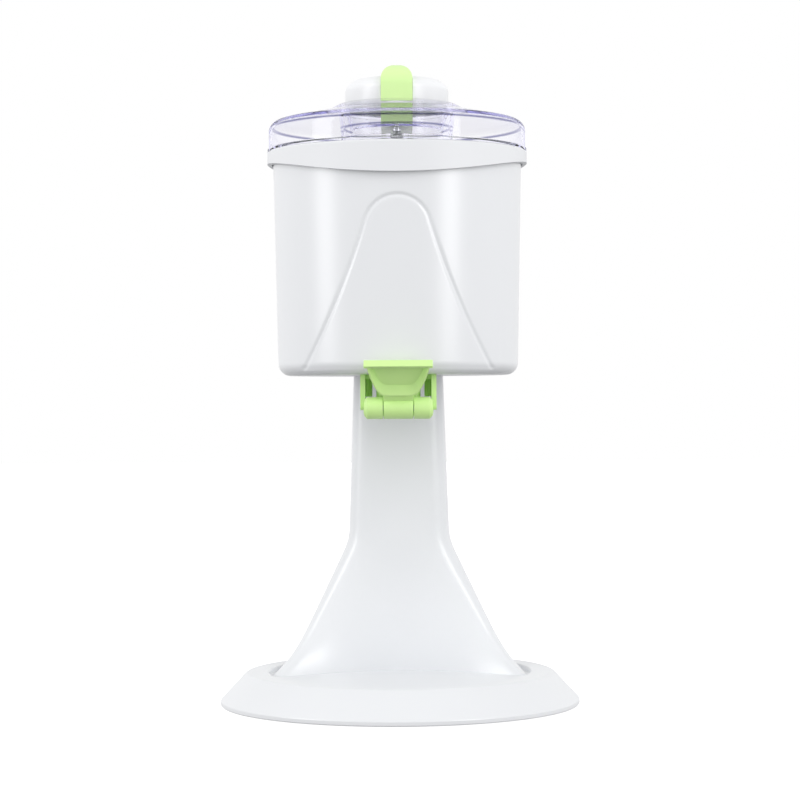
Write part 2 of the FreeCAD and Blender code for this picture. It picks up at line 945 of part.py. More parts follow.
def deck_screw_places():
    return ring_places(deck_boss_ring, deck_screw_count)


def plate_screw_places():
    return [(x, column_middle + y) for y in (-plate_screw_setback, plate_screw_setback)
            for x in (-plate_screw_half, plate_screw_half)]


def motor_screw_places():
    y = column_middle + motor_screw_setback
    return [(-motor_screw_half, y), (motor_screw_half, y)]


def outlet_screw_places():
    return [(-outlet_screw_half, -outlet_screw_setback), (outlet_screw_half, -outlet_screw_setback)]


def make_bucket_shell():
    shell = bucket_solid(0.0).cut(bucket_solid(wall))
    layer = bucket_solid(-cut_past).cut(bucket_solid(panel_depth))
    arch = Part.Face(panel_wire()).extrude(Vector(0, -2 * bucket_top_radius, 0))
    shell = shell.cut(layer.common(arch))
    sunk = bucket_inside - wall / 2
    for x, y in deck_screw_places():
        shell = shell.fuse(rod(screw_boss_radius, sunk, deck_height, x, y))
    shell = shell.fuse(rod(spindle_boss_radius, sunk, high_gear_height - spindle_boss_gap))
    shell = shell.fuse(rod(axle_radius + axle_boss_wall, sunk, low_gear_height - axle_boss_gap,
                           idler_x, idler_y))
    for x, y in deck_screw_places():
        shell = shell.cut(rod(screw_radius, bucket_inside, deck_height, x, y))
    shell = shell.cut(rod(spindle_journal_radius + running_fit, bucket_inside - axle_bite, deck_height))
    shell = shell.cut(rod(axle_radius, bucket_inside - axle_bite, deck_height, idler_x, idler_y))
    shell = shell.cut(rod(spigot_radius + snug, 0, bucket_inside + cut_past, 0, -port_setback))
    shell = shell.cut(rod(motor_shaft_hole, 0, bucket_inside + cut_past, 0, motor_setback))
    for x, y in plate_screw_places() + motor_screw_places() + outlet_screw_places():
        shell = shell.cut(rod(screw_radius + slip, 0, bucket_inside + cut_past, x, y))
    return shell.removeSplitter()


def make_collar_ring():
    inner = bucket_top_radius - wall + collar_mouth
    skirt = bucket_top_radius + collar_gap
    below = collar_low_height - wall
    ring = turned([
        (skirt, below),
        (collar_radius, below),
        (collar_radius, collar_top_height, edge_round),
        (inner, collar_top_height, fine_round),
        (inner, bucket_top_height),
        (skirt, bucket_top_height),
    ])
    rise = collar_high_height - collar_low_height
    sweep = (collar_radius ** 2 + rise ** 2) / (2 * rise)
    drum = Part.makeCylinder(sweep, 4 * collar_radius,
                             Vector(0, -2 * collar_radius, collar_low_height + sweep), axis_y)
    return ring.common(drum)


# Gears

def involute(base, radius):
    """Polar angle of an involute of a base circle at a radius."""
    if radius <= base:
        return 0.0
    roll = math.sqrt((radius / base) ** 2 - 1)
    return roll - math.atan(roll)


def gear(teeth, x, y, low, high, phase):
    """Spur gear with one tooth centred on the phase angle in degrees."""
    pitch = gear_module * teeth / 2
    base = pitch * math.cos(math.radians(pressure_angle))
    tip = pitch + tooth_addendum * gear_module
    root = pitch - tooth_dedendum * gear_module
    start = max(base, root)
    half = math.pi / (2 * teeth) - tooth_backlash / (2 * pitch)
    half = half + involute(base, pitch)

    def at(radius, angle):
        return Vector(x + radius * math.cos(angle), y + radius * math.sin(angle), low)

    edges = []
    steps = tooth_curve_steps
    radii = [start + (tip - start) * i / steps for i in range(steps + 1)]
    for i in range(teeth):
        middle = math.radians(phase) + 2 * math.pi * i / teeth
        rising = [at(r, middle - half + involute(base, r)) for r in radii]
        falling = [at(r, middle + half - involute(base, r)) for r in reversed(radii)]
        foot_in = at(root, middle - half)
        foot_out = at(root, middle + half)
        following = middle + 2 * math.pi / teeth
        gap = at(root, (middle + following) / 2)
        foot_next = at(root, following - half)
        curve = Part.BSplineCurve()
        curve.interpolate(Points=rising)
        if start > root:
            edges.append(Part.LineSegment(foot_in, rising[0]).toShape())
        edges.append(curve.toShape())
        edges.append(Part.Arc(rising[-1], at(tip, middle), falling[0]).toShape())
        curve = Part.BSplineCurve()
        curve.interpolate(Points=falling)
        edges.append(curve.toShape())
        if start > root:
            edges.append(Part.LineSegment(falling[-1], foot_out).toShape())
            edges.append(Part.Arc(foot_out, gap, foot_next).toShape())
        else:
            here = at(start, middle + half - involute(base, start))
            there = at(start, following - half + involute(base, start))
            edges.append(Part.Arc(here, at(start, (middle + following) / 2), there).toShape())
    return Part.Face(Part.Wire(edges)).extrude(Vector(0, 0, high - low))


def idler_angle():
    return math.degrees(math.atan2(idler_y, idler_x))


def motor_angle():
    return math.degrees(math.atan2(motor_setback - idler_y, -idler_x))


def make_spindle_gear():
    low = high_gear_height
    high = low + high_gear_width
    wheel = gear(spindle_teeth, 0, 0, low, high, idler_angle())
    web = gear_module * spindle_teeth / 2 - gear_rim
    groove = rod(web, high - gear_groove, high + cut_past)
    groove = groove.cut(rod(bush_flange_radius + slip, 0, deck_height))
    wheel = wheel.cut(groove)
    return wheel.cut(rod(spindle_radius, low - cut_past, high + cut_past))


def make_compound_gear():
    low_top = low_gear_height + low_gear_width
    high_top = high_gear_height + high_gear_width
    large = gear(large_teeth, idler_x, idler_y, low_gear_height, low_top, motor_angle())
    space = idler_angle() + 180.0 + 180.0 / small_teeth
    small = gear(small_teeth, idler_x, idler_y, low_top, high_top, space)
    web = gear_module * large_teeth / 2 - gear_rim
    hub = gear_module * small_teeth / 2 + gear_hub_wall
    groove = rod(web, low_gear_height - cut_past, low_gear_height + gear_groove, idler_x, idler_y)
    groove = groove.cut(rod(hub, 0, low_top, idler_x, idler_y))
    both = large.cut(groove).fuse(small)
    both = both.cut(rod(axle_radius + running_fit, 0, deck_height, idler_x, idler_y))
    return both.removeSplitter()


def make_gear_axle():
    return rod(axle_radius, bucket_inside - axle_bite, deck_height, idler_x, idler_y)


def make_motor_pinion():
    space = motor_angle() + 180.0 + 180.0 / motor_teeth
    top = low_gear_height + low_gear_width + pinion_spare
    wheel = gear(motor_teeth, 0, motor_setback, low_gear_height - pinion_spare, top, space)
    return wheel.cut(rod(motor_shaft_radius, 0, deck_height, 0, motor_setback))


def make_motor_shaft():
    top = low_gear_height + low_gear_width + motor_shaft_spare
    return rod(motor_shaft_radius, plate_underside - motor_shaft_depth, top, 0, motor_setback)


def make_motor_can():
    head_low = plate_underside - motor_head_length
    can = turned([
        (0, motor_foot),
        (motor_nose_radius, motor_foot, fine_round),
        (motor_nose_radius, motor_foot + motor_nose),
        (motor_radius, motor_foot + motor_nose, motor_nose_round),
        (motor_radius, head_low),
        (motor_head_radius, head_low, edge_round),
        (motor_head_radius, plate_underside, fine_round),
        (0, plate_underside),
    ])
    can.translate(Vector(0, motor_setback, 0))
    bore_low = plate_underside - motor_shaft_depth - motor_bore_spare
    can = can.cut(rod(motor_shaft_radius + running_fit, bore_low, plate_underside, 0, motor_setback))
    hole_low = plate_underside - motor_screw_grip - screw_hole_spare
    for x, y in motor_screw_places():
        can = can.cut(rod(screw_radius, hole_low, plate_underside, x, y))
    return can


def make_motor_plate():
    section = ColumnSection(column_top, column_wall + slip)
    plate = Part.Face(section.wire()).extrude(Vector(0, 0, -motor_plate_thickness))
    plate = plate.cut(rod(motor_shaft_hole, 0, column_top + cut_past, 0, motor_setback))
    for x, y in plate_screw_places():
        plate = plate.cut(rod(screw_radius, 0, column_top + cut_past, x, y))
    for x, y in motor_screw_places():
        plate = plate.cut(rod(screw_radius + slip, 0, column_top + cut_past, x, y))
    return plate


def make_plate_screws():
    return Part.makeCompound([screw(plate_underside, bucket_inside, x, y)
                              for x, y in plate_screw_places()])


def make_motor_screws():
    return Part.makeCompound([screw(plate_underside - motor_screw_grip, bucket_inside, x, y)
                              for x, y in motor_screw_places()])


def hex_bar(across, low, high):
    corners = ring_places(across / math.sqrt(3), 6, 0.0)
    points = [Vector(x, y, low) for x, y in corners + corners[:1]]
    return Part.Face(Part.makePolygon(points)).extrude(Vector(0, 0, high - low))


def make_drive_spindle():
    shoulder = high_gear_height - spindle_shoulder_gap
    lower = rod(spindle_journal_radius, bucket_inside - axle_bite + spindle_foot_gap, shoulder)
    body = rod(spindle_radius, shoulder, sleeve_height)
    head = hex_bar(spindle_hex, sleeve_height - hex_lap, sleeve_height + spindle_drive_length)
    return merged([lower, body, head])


# Deck

def make_drive_deck():
    lean = (bucket_top_radius - bucket_foot_radius) / (bucket_top_height - bucket_floor_height)
    inner = bucket_foot_radius + lean * (deck_height - bucket_floor_height) - wall
    deck = rod(inner - slip, deck_height, deck_top)
    above = deck_top + cut_past
    deck = deck.cut(rod(bush_radius, 0, above))
    deck = deck.cut(rod(port_tube_radius + deck_port_gap, 0, above, 0, -port_setback))
    for x, y in deck_screw_places():
        deck = deck.cut(rod(screw_radius + slip, 0, above, x, y))
        deck = deck.cut(rod(screw_head_radius + slip, deck_top - screw_head_height, above, x, y))
    return deck


def make_deck_screws():
    return Part.makeCompound([screw(deck_height - screw_grip, deck_top, x, y, True)
                              for x, y in deck_screw_places()])


def make_spindle_bush():
    low = high_gear_height + high_gear_width + bush_flange_gap
    bush = rod(bush_radius, deck_height - bush_lap, deck_top)
    bush = bush.fuse(rod(bush_flange_radius, low, deck_height))
    return bush.cut(rod(spindle_radius + running_fit, 0, deck_top + cut_past)).removeSplitter()


# Freezer bowl

def port_hole(radius, low, high):
    return rod(radius, low, high, 0, -port_setback)


def make_bowl_jacket():
    flange_top = bowl_rim_height - liner_wall
    flange_low = flange_top - jacket_flange
    jacket = turned([
        (sleeve_bore, deck_top),
        (bowl_foot_radius, deck_top, jacket_round),
        (bowl_top_radius, flange_low),
        (bowl_rim_radius, flange_low),
        (bowl_rim_radius, flange_top),
        (bowl_top_radius - jacket_wall, flange_top),
        (bowl_foot_radius - jacket_wall, deck_top + jacket_wall, jacket_round - jacket_wall),
        (sleeve_radius, deck_top + jacket_wall),
        (sleeve_radius, sleeve_height),
        (sleeve_bore, sleeve_height),
    ])
    liner_under = liner_floor_height - liner_wall
    jacket = jacket.fuse(port_hole(port_tube_radius, port_tube_bottom, liner_under))
    return jacket.cut(port_hole(port_radius, 0, liner_floor_height)).removeSplitter()


def make_bowl_liner():
    under = liner_floor_height - liner_wall
    liner = turned([
        (sleeve_radius, under),
        (liner_foot_radius + liner_wall, under, liner_round + liner_wall),
        (liner_top_radius + liner_wall, bowl_rim_height - liner_wall),
        (bowl_rim_radius, bowl_rim_height - liner_wall),
        (bowl_rim_radius, bowl_rim_height),
        (liner_top_radius, bowl_rim_height, liner_lip_round),
        (liner_foot_radius, liner_floor_height, liner_round),
        (sleeve_radius, liner_floor_height),
    ])
    return liner.cut(port_hole(port_radius, 0, liner_floor_height + cut_past))


def make_coolant_gel():
    under = liner_floor_height - liner_wall
    top = bowl_rim_height - liner_wall
    gel = turned([
        (sleeve_radius, deck_top + jacket_wall),
        (bowl_foot_radius - jacket_wall, deck_top + jacket_wall, jacket_round - jacket_wall),
        (bowl_top_radius - jacket_wall, top),
        (liner_top_radius + liner_wall, top),
        (liner_foot_radius + liner_wall, under, liner_round + liner_wall),
        (sleeve_radius, under),
    ])
    return gel.cut(port_hole(port_tube_radius, 0, liner_floor_height))


def make_shaft_seal():
    ring = rod(sleeve_bore, sleeve_height - shaft_seal_height, sleeve_height)
    return ring.cut(rod(spindle_radius + running_fit, 0, sleeve_height + cut_past))


def make_port_seal():
    low = port_tube_bottom + port_seal_rise
    ring = port_hole(port_tube_radius + port_seal_thickness, low, low + port_seal_height)
    return ring.cut(port_hole(port_tube_radius, 0, liner_floor_height))


# Dasher

def liner_inside(height):
    lean = (liner_top_radius - liner_foot_radius) / (bowl_rim_height - liner_floor_height)
    return liner_foot_radius + lean * (height - liner_floor_height)


def helix_edge(radius, low):
    """Spiral edge of the flight at a radius."""
    steps = int(flight_steps * flight_turns)
    points = []
    for i in range(steps + 1):
        turn = flight_turns * i / steps
        angle = 2 * math.pi * turn
        points.append(Vector(radius * math.cos(angle), radius * math.sin(angle),
                             low + flight_pitch * turn))
    curve = Part.BSplineCurve()
    curve.interpolate(Points=points)
    return curve.toShape()


def make_auger_flight():
    low = sleeve_height + flight_start
    ribbon = Part.makeRuledSurface(helix_edge(dasher_radius, low), helix_edge(flight_radius, low))
    return ribbon.extrude(Vector(0, 0, flight_thickness))


def make_side_frame():
    """One window frame of the dasher, on the +X side."""
    floor = dasher_floor
    edge_low = liner_inside(floor) - blade_clearance - blade_width
    edge_high = liner_inside(frame_top_height) - blade_clearance - blade_width
    middle = dasher_radius - frame_root
    skirt = dasher_skirt_radius - skirt_lap
    whole = outline([
        (skirt, floor),
        (edge_low, floor, frame_foot_round),
        (edge_high, frame_top_height, frame_top_round),
        (middle, frame_top_height + frame_rise),
        (middle, sleeve_height + frame_root_rise),
        (skirt, sleeve_height + frame_skirt_rise),
    ], facing_front)
    window_top = frame_top_height - frame_bar
    window = outline([
        (0, floor + frame_bar),
        (edge_low - frame_bar, floor + frame_bar, window_round),
        (edge_high - frame_bar, window_top, window_round),
        (dasher_radius, window_top + window_rise, window_tip_round),
        (dasher_radius, window_top - window_step),
        (0, window_top - window_step),
    ], facing_front)
    frame = Part.Face(whole).extrude(Vector(0, frame_thickness, 0))
    frame = frame.cut(Part.Face(window).extrude(Vector(0, frame_thickness, 0)))
    frame.translate(Vector(0, -frame_thickness / 2, 0))
    return frame


def make_wiper():
    """Wiper blade with its root in the frame's edge, on the +X side."""
    floor = liner_floor_height + blade_low_gap
    top = frame_top_height - blade_top_gap
    low = liner_inside(floor) - blade_clearance
    high = liner_inside(top) - blade_clearance
    root = blade_width + blade_root
    wire = outline([
        (low - root, floor), (low, floor), (high, top), (high - root, top),
    ], facing_front)
    blade = Part.Face(wire).extrude(Vector(0, blade_thickness, 0))
    blade.translate(Vector(0, -blade_thickness / 2, 0))
    return blade


def both_sides(shape):
    other = shape.copy()
    other.rotate(Vector(0, 0, 0), axis_z, 180)
    return [shape, other]


def make_dasher():
    neck = sleeve_height + slip
    shoulder = lid_hub_height - hub_shoulder
    hub = turned([
        (0, neck),
        (sleeve_radius + skirt_gap, neck),
        (sleeve_radius + skirt_gap, dasher_floor),
        (dasher_skirt_radius, dasher_floor),
        (dasher_skirt_radius, neck + skirt_height, skirt_round),
        (dasher_radius, neck + neck_height, neck_round),
        (dasher_radius, shoulder, hub_round),
        (dasher_journal_radius, shoulder),
        (dasher_journal_radius, dasher_top_height, journal_round),
        (0, dasher_top_height),
    ])
    body = merged([hub] + both_sides(make_side_frame()))
    socket_top = sleeve_height + spindle_drive_length + socket_spare
    body = body.cut(hex_bar(spindle_hex + socket_gap, neck - cut_past, socket_top))
    for blade in both_sides(make_wiper()):
        body = body.cut(blade)
    return body.removeSplitter()


def make_scraper_blades():
    return Part.makeCompound(both_sides(make_wiper()))


# Clear lid

def make_clear_lid():
    fall = (lid_crown_height - lid_shoulder_height) / (lid_radius - lid_crown_radius)
    inner = lid_radius - lid_wall
    drop = lid_wall * math.sqrt(1 + fall * fall)
    inner_shoulder = lid_shoulder_height + lid_wall * fall - drop
    crown_under = lid_crown_height - drop
    floor = collar_top_height + lid_wall
    skirt_in = lid_skirt_radius - lid_wall
    chute_out = chute_foot_radius + lid_wall
    lid = turned([
        (lid_flange_radius, collar_top_height),
        (lid_flange_radius, collar_top_height + lid_flange_height),
        (lid_radius, floor + lid_flange_slope),
        (lid_radius, lid_shoulder_height, lid_shoulder_round),
        (lid_crown_radius, lid_crown_height, lid_crown_round),
        (chute_top_radius + chute_lip, lid_rim_height, fine_round),
        (chute_top_radius + chute_draft, lid_rim_height, fine_round),
        (chute_top_radius, chute_ledge_height),
        (chute_top_radius - chute_ledge, chute_ledge_height),
        (chute_foot_radius, chute_foot_height),
        (chute_out, chute_foot_height),
        (chute_top_radius + lid_wall, lid_rim_height - chute_under),
        (lid_crown_radius, crown_under, lid_crown_round),
        (inner, inner_shoulder, lid_shoulder_round - lid_wall),
        (inner, floor),
        (skirt_in, floor),
        (skirt_in, lid_skirt_height),
        (lid_skirt_radius, lid_skirt_height),
        (lid_skirt_radius, collar_top_height),
    ])
    hub_top = chute_foot_height + lid_wall
    pieces = [lid, rod(lid_hub_radius, lid_hub_height, hub_top + lid_hub_rise)]
    for angle in lid_spoke_angles:
        spoke = block(lid_hub_radius - lid_spoke_lap, chute_foot_radius + lid_spoke_root,
                      -lid_spoke_width / 2, lid_spoke_width / 2, chute_foot_height, hub_top)
        spoke.rotate(Vector(0, 0, 0), axis_z, angle)
        pieces.append(spoke)
    lid = merged(pieces)
    bore = dasher_journal_radius + running_fit
    return lid.cut(rod(bore, 0, hub_top + lid_hub_rise + cut_past)).removeSplitter()


def make_lid_seal():
    low = bowl_rim_height + slip
    outer = lid_skirt_radius - lid_seal_inset
    seal = rod(outer, low, lid_skirt_height)
    return seal.cut(rod(outer - lid_seal_width, 0, lid_skirt_height + cut_past))


# Feed cap

def make_feed_cup():
    ledge = chute_ledge_height
    return turned([
        (0, cup_foot_height),
        (cup_foot_radius, cup_foot_height, cup_round),
        (cap_radius - slip, ledge),
        (chute_top_radius - slip, ledge),
        (chute_top_radius - slip, cap_foot_height),
        (cap_radius - cup_wall - slip, cap_foot_height),
        (cup_foot_radius - cup_wall, cup_foot_height + cup_wall, fine_round),
        (0, cup_foot_height + cup_wall),
    ]).cut(cap_screw_holes())


def cap_screw_places():
    return [(0.0, -cap_screw_setback), (0.0, cap_screw_setback)]


def cap_screw_holes():
    holes = [rod(screw_radius + slip, cup_foot_height - cut_past, cap_foot_height, x, y)
             for x, y in cap_screw_places()]
    return holes[0].fuse(holes[1])


def make_cap_dome():
    dome = turned([
        (0, cap_foot_height),
        (cap_radius, cap_foot_height),
        (cap_radius, cap_top_height - cap_shoulder_drop, cap_shoulder_round),
        (cap_shoulder_radius, cap_top_height - cap_crown_drop, cap_crown_round),
        (0, cap_top_height),
    ])
    half = grip_width / 2 + snug
    trough = block(-half, half, -2 * cap_radius, 2 * cap_radius, grip_seat_height,
                   2 * cap_top_height)
    tongue = block(-half, half, -grip_tongue - snug, grip_tongue + snug, 0, cap_top_height)
    return dome.cut(trough).cut(tongue).removeSplitter()


def make_cap_handle():
    half = grip_width / 2
    end = cap_radius - snug
    face_on = outline([
        (-half, grip_seat_height),
        (half, grip_seat_height),
        (half, grip_top_height, half - snug),
        (-half, grip_top_height, half - snug),
    ], facing_front)
    side_on = outline([
        (-end, grip_seat_height),
        (end, grip_seat_height),
        (end, grip_top_height, grip_end_round),
        (-end, grip_top_height, grip_end_round),
    ], facing_side)
    along = Part.Face(face_on).extrude(Vector(0, 4 * end, 0))
    along.translate(Vector(0, -2 * end, 0))
    across = Part.Face(side_on).extrude(Vector(4 * half, 0, 0))
    across.translate(Vector(-2 * half, 0, 0))
    grip = along.common(across)
    bottom = cup_foot_height + cup_wall
    tongue = block(-half, half, -grip_tongue, grip_tongue, bottom, grip_seat_height)
    grip = grip.fuse(tongue)
    for x, y in cap_screw_places():
        grip = grip.cut(rod(screw_radius, bottom, bottom + cap_screw_grip + screw_hole_spare, x, y))
    return grip.removeSplitter()


def make_cap_screws():
    tip = cup_foot_height + cup_wall + cap_screw_grip
    return Part.makeCompound([screw(tip, cup_foot_height, x, y)
                              for x, y in cap_screw_places()])


# Outlet: block, nozzle, gate and lever

def make_knuckle(side):
    """Hinge knuckle with its outer end chamfered, on the -X or +X side."""
    near = side * knuckle_inner
    far = side * knuckle_outer
    barrel = Part.makeCylinder(knuckle_radius, abs(far - near),
                               Vector(min(near, far), -hinge_setback, hinge_height), axis_x)
    rims = [e for e in barrel.Edges if e.BoundBox.XLength < slip and abs(e.CenterOfMass.x - far) < slip]
    return barrel.makeChamfer(knuckle_chamfer, rims)


def make_outlet_block():
    top = bucket_floor_height
    hole_low = top - outlet_screw_grip - screw_hole_spare
    core = block(-core_half_width, core_half_width, -core_front, -core_back,
                 core_foot_height, top)
    upright = [e for e in core.Edges if e.BoundBox.ZLength > core_height / 2]
    core = core.makeFillet(core_round, upright)
    pieces = [core, port_hole(spigot_radius, top - spigot_root, spigot_top_height)]
    pieces.append(block(-ear_half_width, ear_half_width, -core_front, -ear_back,
                        top - block_flange, top))
    inner = ear_half_width - ear_thickness
    ear = Part.Face(outline([
        (-ear_front, top),
        (-ear_back, top),
        (-ear_back, ear_foot_height + ear_cut, ear_back_round),
        (-ear_back - ear_cut, ear_foot_height, ear_foot_round),
        (-ear_front, ear_foot_height, ear_front_round),
    ], facing_side)).extrude(Vector(ear_thickness, 0, 0))
    for start in (-ear_half_width, inner):
        side = ear.copy()
        side.translate(Vector(start, 0, 0))
        pieces.append(side)
    for x, y in outlet_screw_places():
        pieces.append(rod(outlet_boss_radius, hole_low - outlet_boss_spare, top, x, y))
    for side in (-1, 1):
        pieces.append(make_knuckle(side))
        near = side * knuckle_inner
        far = side * max(knuckle_outer, inner + web_bite)
        pieces.append(block(min(near, far), max(near, far), -hinge_setback + web_start,
                            -core_front + web_lap, hinge_height - web_half, hinge_height + web_half))
    body = merged(pieces)
    above = spigot_top_height + cut_past
    body = body.cut(port_hole(port_radius, 0, above))
    body = body.cut(port_hole(port_tube_radius + spigot_gap, port_tube_bottom - spigot_ledge, above))
    body = body.cut(port_hole(nozzle_neck_radius, 0, core_foot_height + nozzle_neck))
    body = body.cut(port_hole(nozzle_radius + slip, 0, core_foot_height))
    swing = knuckle_radius + knuckle_swing
    body = body.cut(cross_rod(swing, knuckle_inner, -hinge_setback, hinge_height))
    body = body.cut(block(-gate_half_width - slip, gate_half_width + slip, -2 * core_front,
                          gate_back + gate_pocket_gap, gate_height - slip,
                          gate_height + gate_thickness + slip))
    body = body.cut(cross_rod(hinge_radius, ear_half_width, -hinge_setback, hinge_height))
    for x, y in outlet_screw_places():
        body = body.cut(rod(screw_radius, hole_low, top, x, y))
    return body.removeSplitter()


def make_outlet_screws():
    tip = bucket_floor_height - outlet_screw_grip
    return Part.makeCompound([screw(tip, bucket_inside, x, y) for x, y in outlet_screw_places()])


def make_star_nozzle():
    body = turned([
        (0, nozzle_foot_height),
        (nozzle_radius, nozzle_foot_height, nozzle_round),
        (nozzle_radius, core_foot_height),
        (nozzle_neck_radius, core_foot_height),
        (nozzle_neck_radius, core_foot_height + nozzle_neck),
        (0, core_foot_height + nozzle_neck),
    ])
    points = []
    for i in range(2 * star_points):
        angle = math.pi * i / star_points
        radius = star_outer_radius if i % 2 == 0 else star_inner_radius
        points.append((radius * math.cos(angle), radius * math.sin(angle), star_round))
    star = Part.Face(outline(points, on_floor))
    star = star.extrude(Vector(0, 0, core_foot_height))
    bell = Part.makeCone(star_inner_radius, port_radius, nozzle_height + nozzle_neck - nozzle_lip,
                         Vector(0, 0, nozzle_foot_height + nozzle_lip))
    body = body.cut(star.fuse(bell))
    body.translate(Vector(0, -port_setback, 0))
    return body.removeSplitter()


def make_valve_gate():
    top = gate_height + gate_thickness
    plate = block(-gate_half_width, gate_half_width, -core_front - gate_lead, gate_back,
                  gate_height, top)
    cheek_in = crank_half_width + crank_side_gap
    cheeks = block(-cheek_half_width, cheek_half_width, -gate_front, -core_front - cheek_gap,
                   gate_height - cheek_drop, bucket_floor_height - cheek_top_gap)
    gate = merged([plate, cheeks])
    half = crank_pin_radius + gate_slot_gap
    slot = block(-gate_half_width, gate_half_width, crank_pin_y - half, crank_pin_y + half,
                 0, crank_pin_z + gate_slot_top)
    gate = gate.cut(slot)
    arm_room = block(-cheek_in, cheek_in, -2 * gate_front, -core_front + gate_arm_room, 0, 2 * top)
    return gate.cut(arm_room).removeSplitter()


def scoop_outline(half, foot_half, low, high, depth, corner):
    wire = outline([
        (-foot_half, low, corner),
        (foot_half, low, corner),
        (half, high, scoop_top_round),
        (-half, high, scoop_top_round),
    ], facing_front)
    wire.translate(Vector(0, depth, 0))
    return wire


def make_scoop():
    """Dished finger scoop standing straight up from the hinge, dish towards -Y."""
    low = scoop_foot
    high = lever_length
    back_outline = scoop_outline(scoop_floor_half + scoop_wall, scoop_floor_foot_half + scoop_wall,
                                 low + scoop_back_rise, high, scoop_depth, scoop_back_round)
    rim = scoop_outline(scoop_rim_half, scoop_rim_foot_half, low, high, -scoop_wall, scoop_round)
    body = Part.makeLoft([back_outline, rim], True, True)
    dish_top = high - scoop_lip
    floor = scoop_outline(scoop_floor_half - scoop_floor_draft, scoop_floor_foot_half,
                          low + scoop_floor_rise, dish_top - scoop_floor_drop,
                          scoop_depth - scoop_wall, scoop_floor_round)
    mouth = scoop_outline(scoop_rim_half - scoop_rim_wall, scoop_rim_foot_half - scoop_rim_foot_wall,
                          low + scoop_rim_foot, dish_top, -scoop_wall, scoop_rim_round)
    dish = Part.makeLoft([floor, mouth], True, True)
    skin = Part.Face(mouth).extrude(Vector(0, -3 * scoop_wall, 0))
    return body.cut(dish).cut(skin)


def make_pull_lever():
    barrel_half = knuckle_inner - knuckle_gap
    barrel = cross_rod(knuckle_radius, barrel_half, 0, 0)
    neck = block(-barrel_half, barrel_half, -lever_neck_front, lever_neck_back,
                 0, scoop_foot + lever_neck_lap)
    upper = merged([make_scoop(), neck])
    upper.rotate(Vector(0, 0, 0), axis_x, lever_lean)
    arm_top = crank_radius + crank_arm_half
    arm = Part.Face(outline([
        (-crank_arm_half, 0),
        (crank_arm_half, 0),
        (crank_arm_half, arm_top, crank_arm_round),
        (-crank_arm_half, arm_top, crank_arm_round),
    ], facing_side)).extrude(Vector(2 * crank_half_width, 0, 0))
    arm.translate(Vector(-crank_half_width, 0, 0))
    arm.rotate(Vector(0, 0, 0), axis_x, -crank_back_angle)
    lever = merged([barrel, upper, arm])
    lever = lever.cut(cross_rod(hinge_radius + running_fit, 2 * barrel_half, 0, 0))
    lever.translate(Vector(0, -hinge_setback, hinge_height))
    lever = lever.cut(cross_rod(crank_pin_radius, 2 * barrel_half, crank_pin_y, crank_pin_z))
    return lever.removeSplitter()


def make_gate_pin():
    return cross_rod(crank_pin_radius, gate_pin_half, crank_pin_y, crank_pin_z)


def make_hinge_pin():
    return cross_rod(hinge_radius, knuckle_outer - hinge_pin_sink, -hinge_setback, hinge_height)


# Every piece by name

pieces = {
    "base_shell": make_base_shell(),
    "base_plate": make_base_plate(),
    "rubber_feet": make_rubber_feet(),
    "base_screws": make_base_screws(),
    "cord_gland": make_cord_gland(),
    "column_front": make_column_front(),
    "column_rear": make_column_rear(),
    "column_screws": make_column_screws(),
    "foot_screws": make_foot_screws(),
    "switch_bezel": make_switch_bezel(),
    "switch_rocker": make_switch_rocker(),
    "lead_sleeve": make_lead_sleeve(),
    "bucket_shell": make_bucket_shell(),
    "collar_ring": make_collar_ring(),
    "motor_plate": make_motor_plate(),
    "motor_can": make_motor_can(),
    "motor_screws": make_motor_screws(),
    "plate_screws": make_plate_screws(),
    "motor_shaft": make_motor_shaft(),
    "motor_pinion": make_motor_pinion(),
    "compound_gear": make_compound_gear(),
    "gear_axle": make_gear_axle(),
    "spindle_gear": make_spindle_gear(),
    "drive_spindle": make_drive_spindle(),
    "spindle_bush": make_spindle_bush(),
    "drive_deck": make_drive_deck(),
    "deck_screws": make_deck_screws(),
    "bowl_jacket": make_bowl_jacket(),
    "bowl_liner": make_bowl_liner(),
    "coolant_gel": make_coolant_gel(),
    "shaft_seal": make_shaft_seal(),
    "port_seal": make_port_seal(),
    "dasher": make_dasher(),
    "auger_flight": make_auger_flight(),
    "scraper_blades": make_scraper_blades(),
    "clear_lid": make_clear_lid(),
    "lid_seal": make_lid_seal(),
    "feed_cup": make_feed_cup(),
    "cap_dome": make_cap_dome(),
    "cap_handle": make_cap_handle(),
    "cap_screws": make_cap_screws(),
    "outlet_block": make_outlet_block(),
    "outlet_screws": make_outlet_screws(),
    "star_nozzle": make_star_nozzle(),
    "valve_gate": make_valve_gate(),
    "gate_pin": make_gate_pin(),
    "pull_lever": make_pull_lever(),
    "hinge_pin": make_hinge_pin(),
}

os.makedirs("parts", exist_ok=True)
for name, shape in pieces.items():
    shape.exportStep("parts/" + name + ".step")
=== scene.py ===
"""Looks of a table-top soft-serve ice cream maker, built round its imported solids, in metres."""

import logging
import math
from dataclasses import dataclass
from enum import Enum
from typing import Any, Dict, List, Optional, Sequence, Tuple, Union

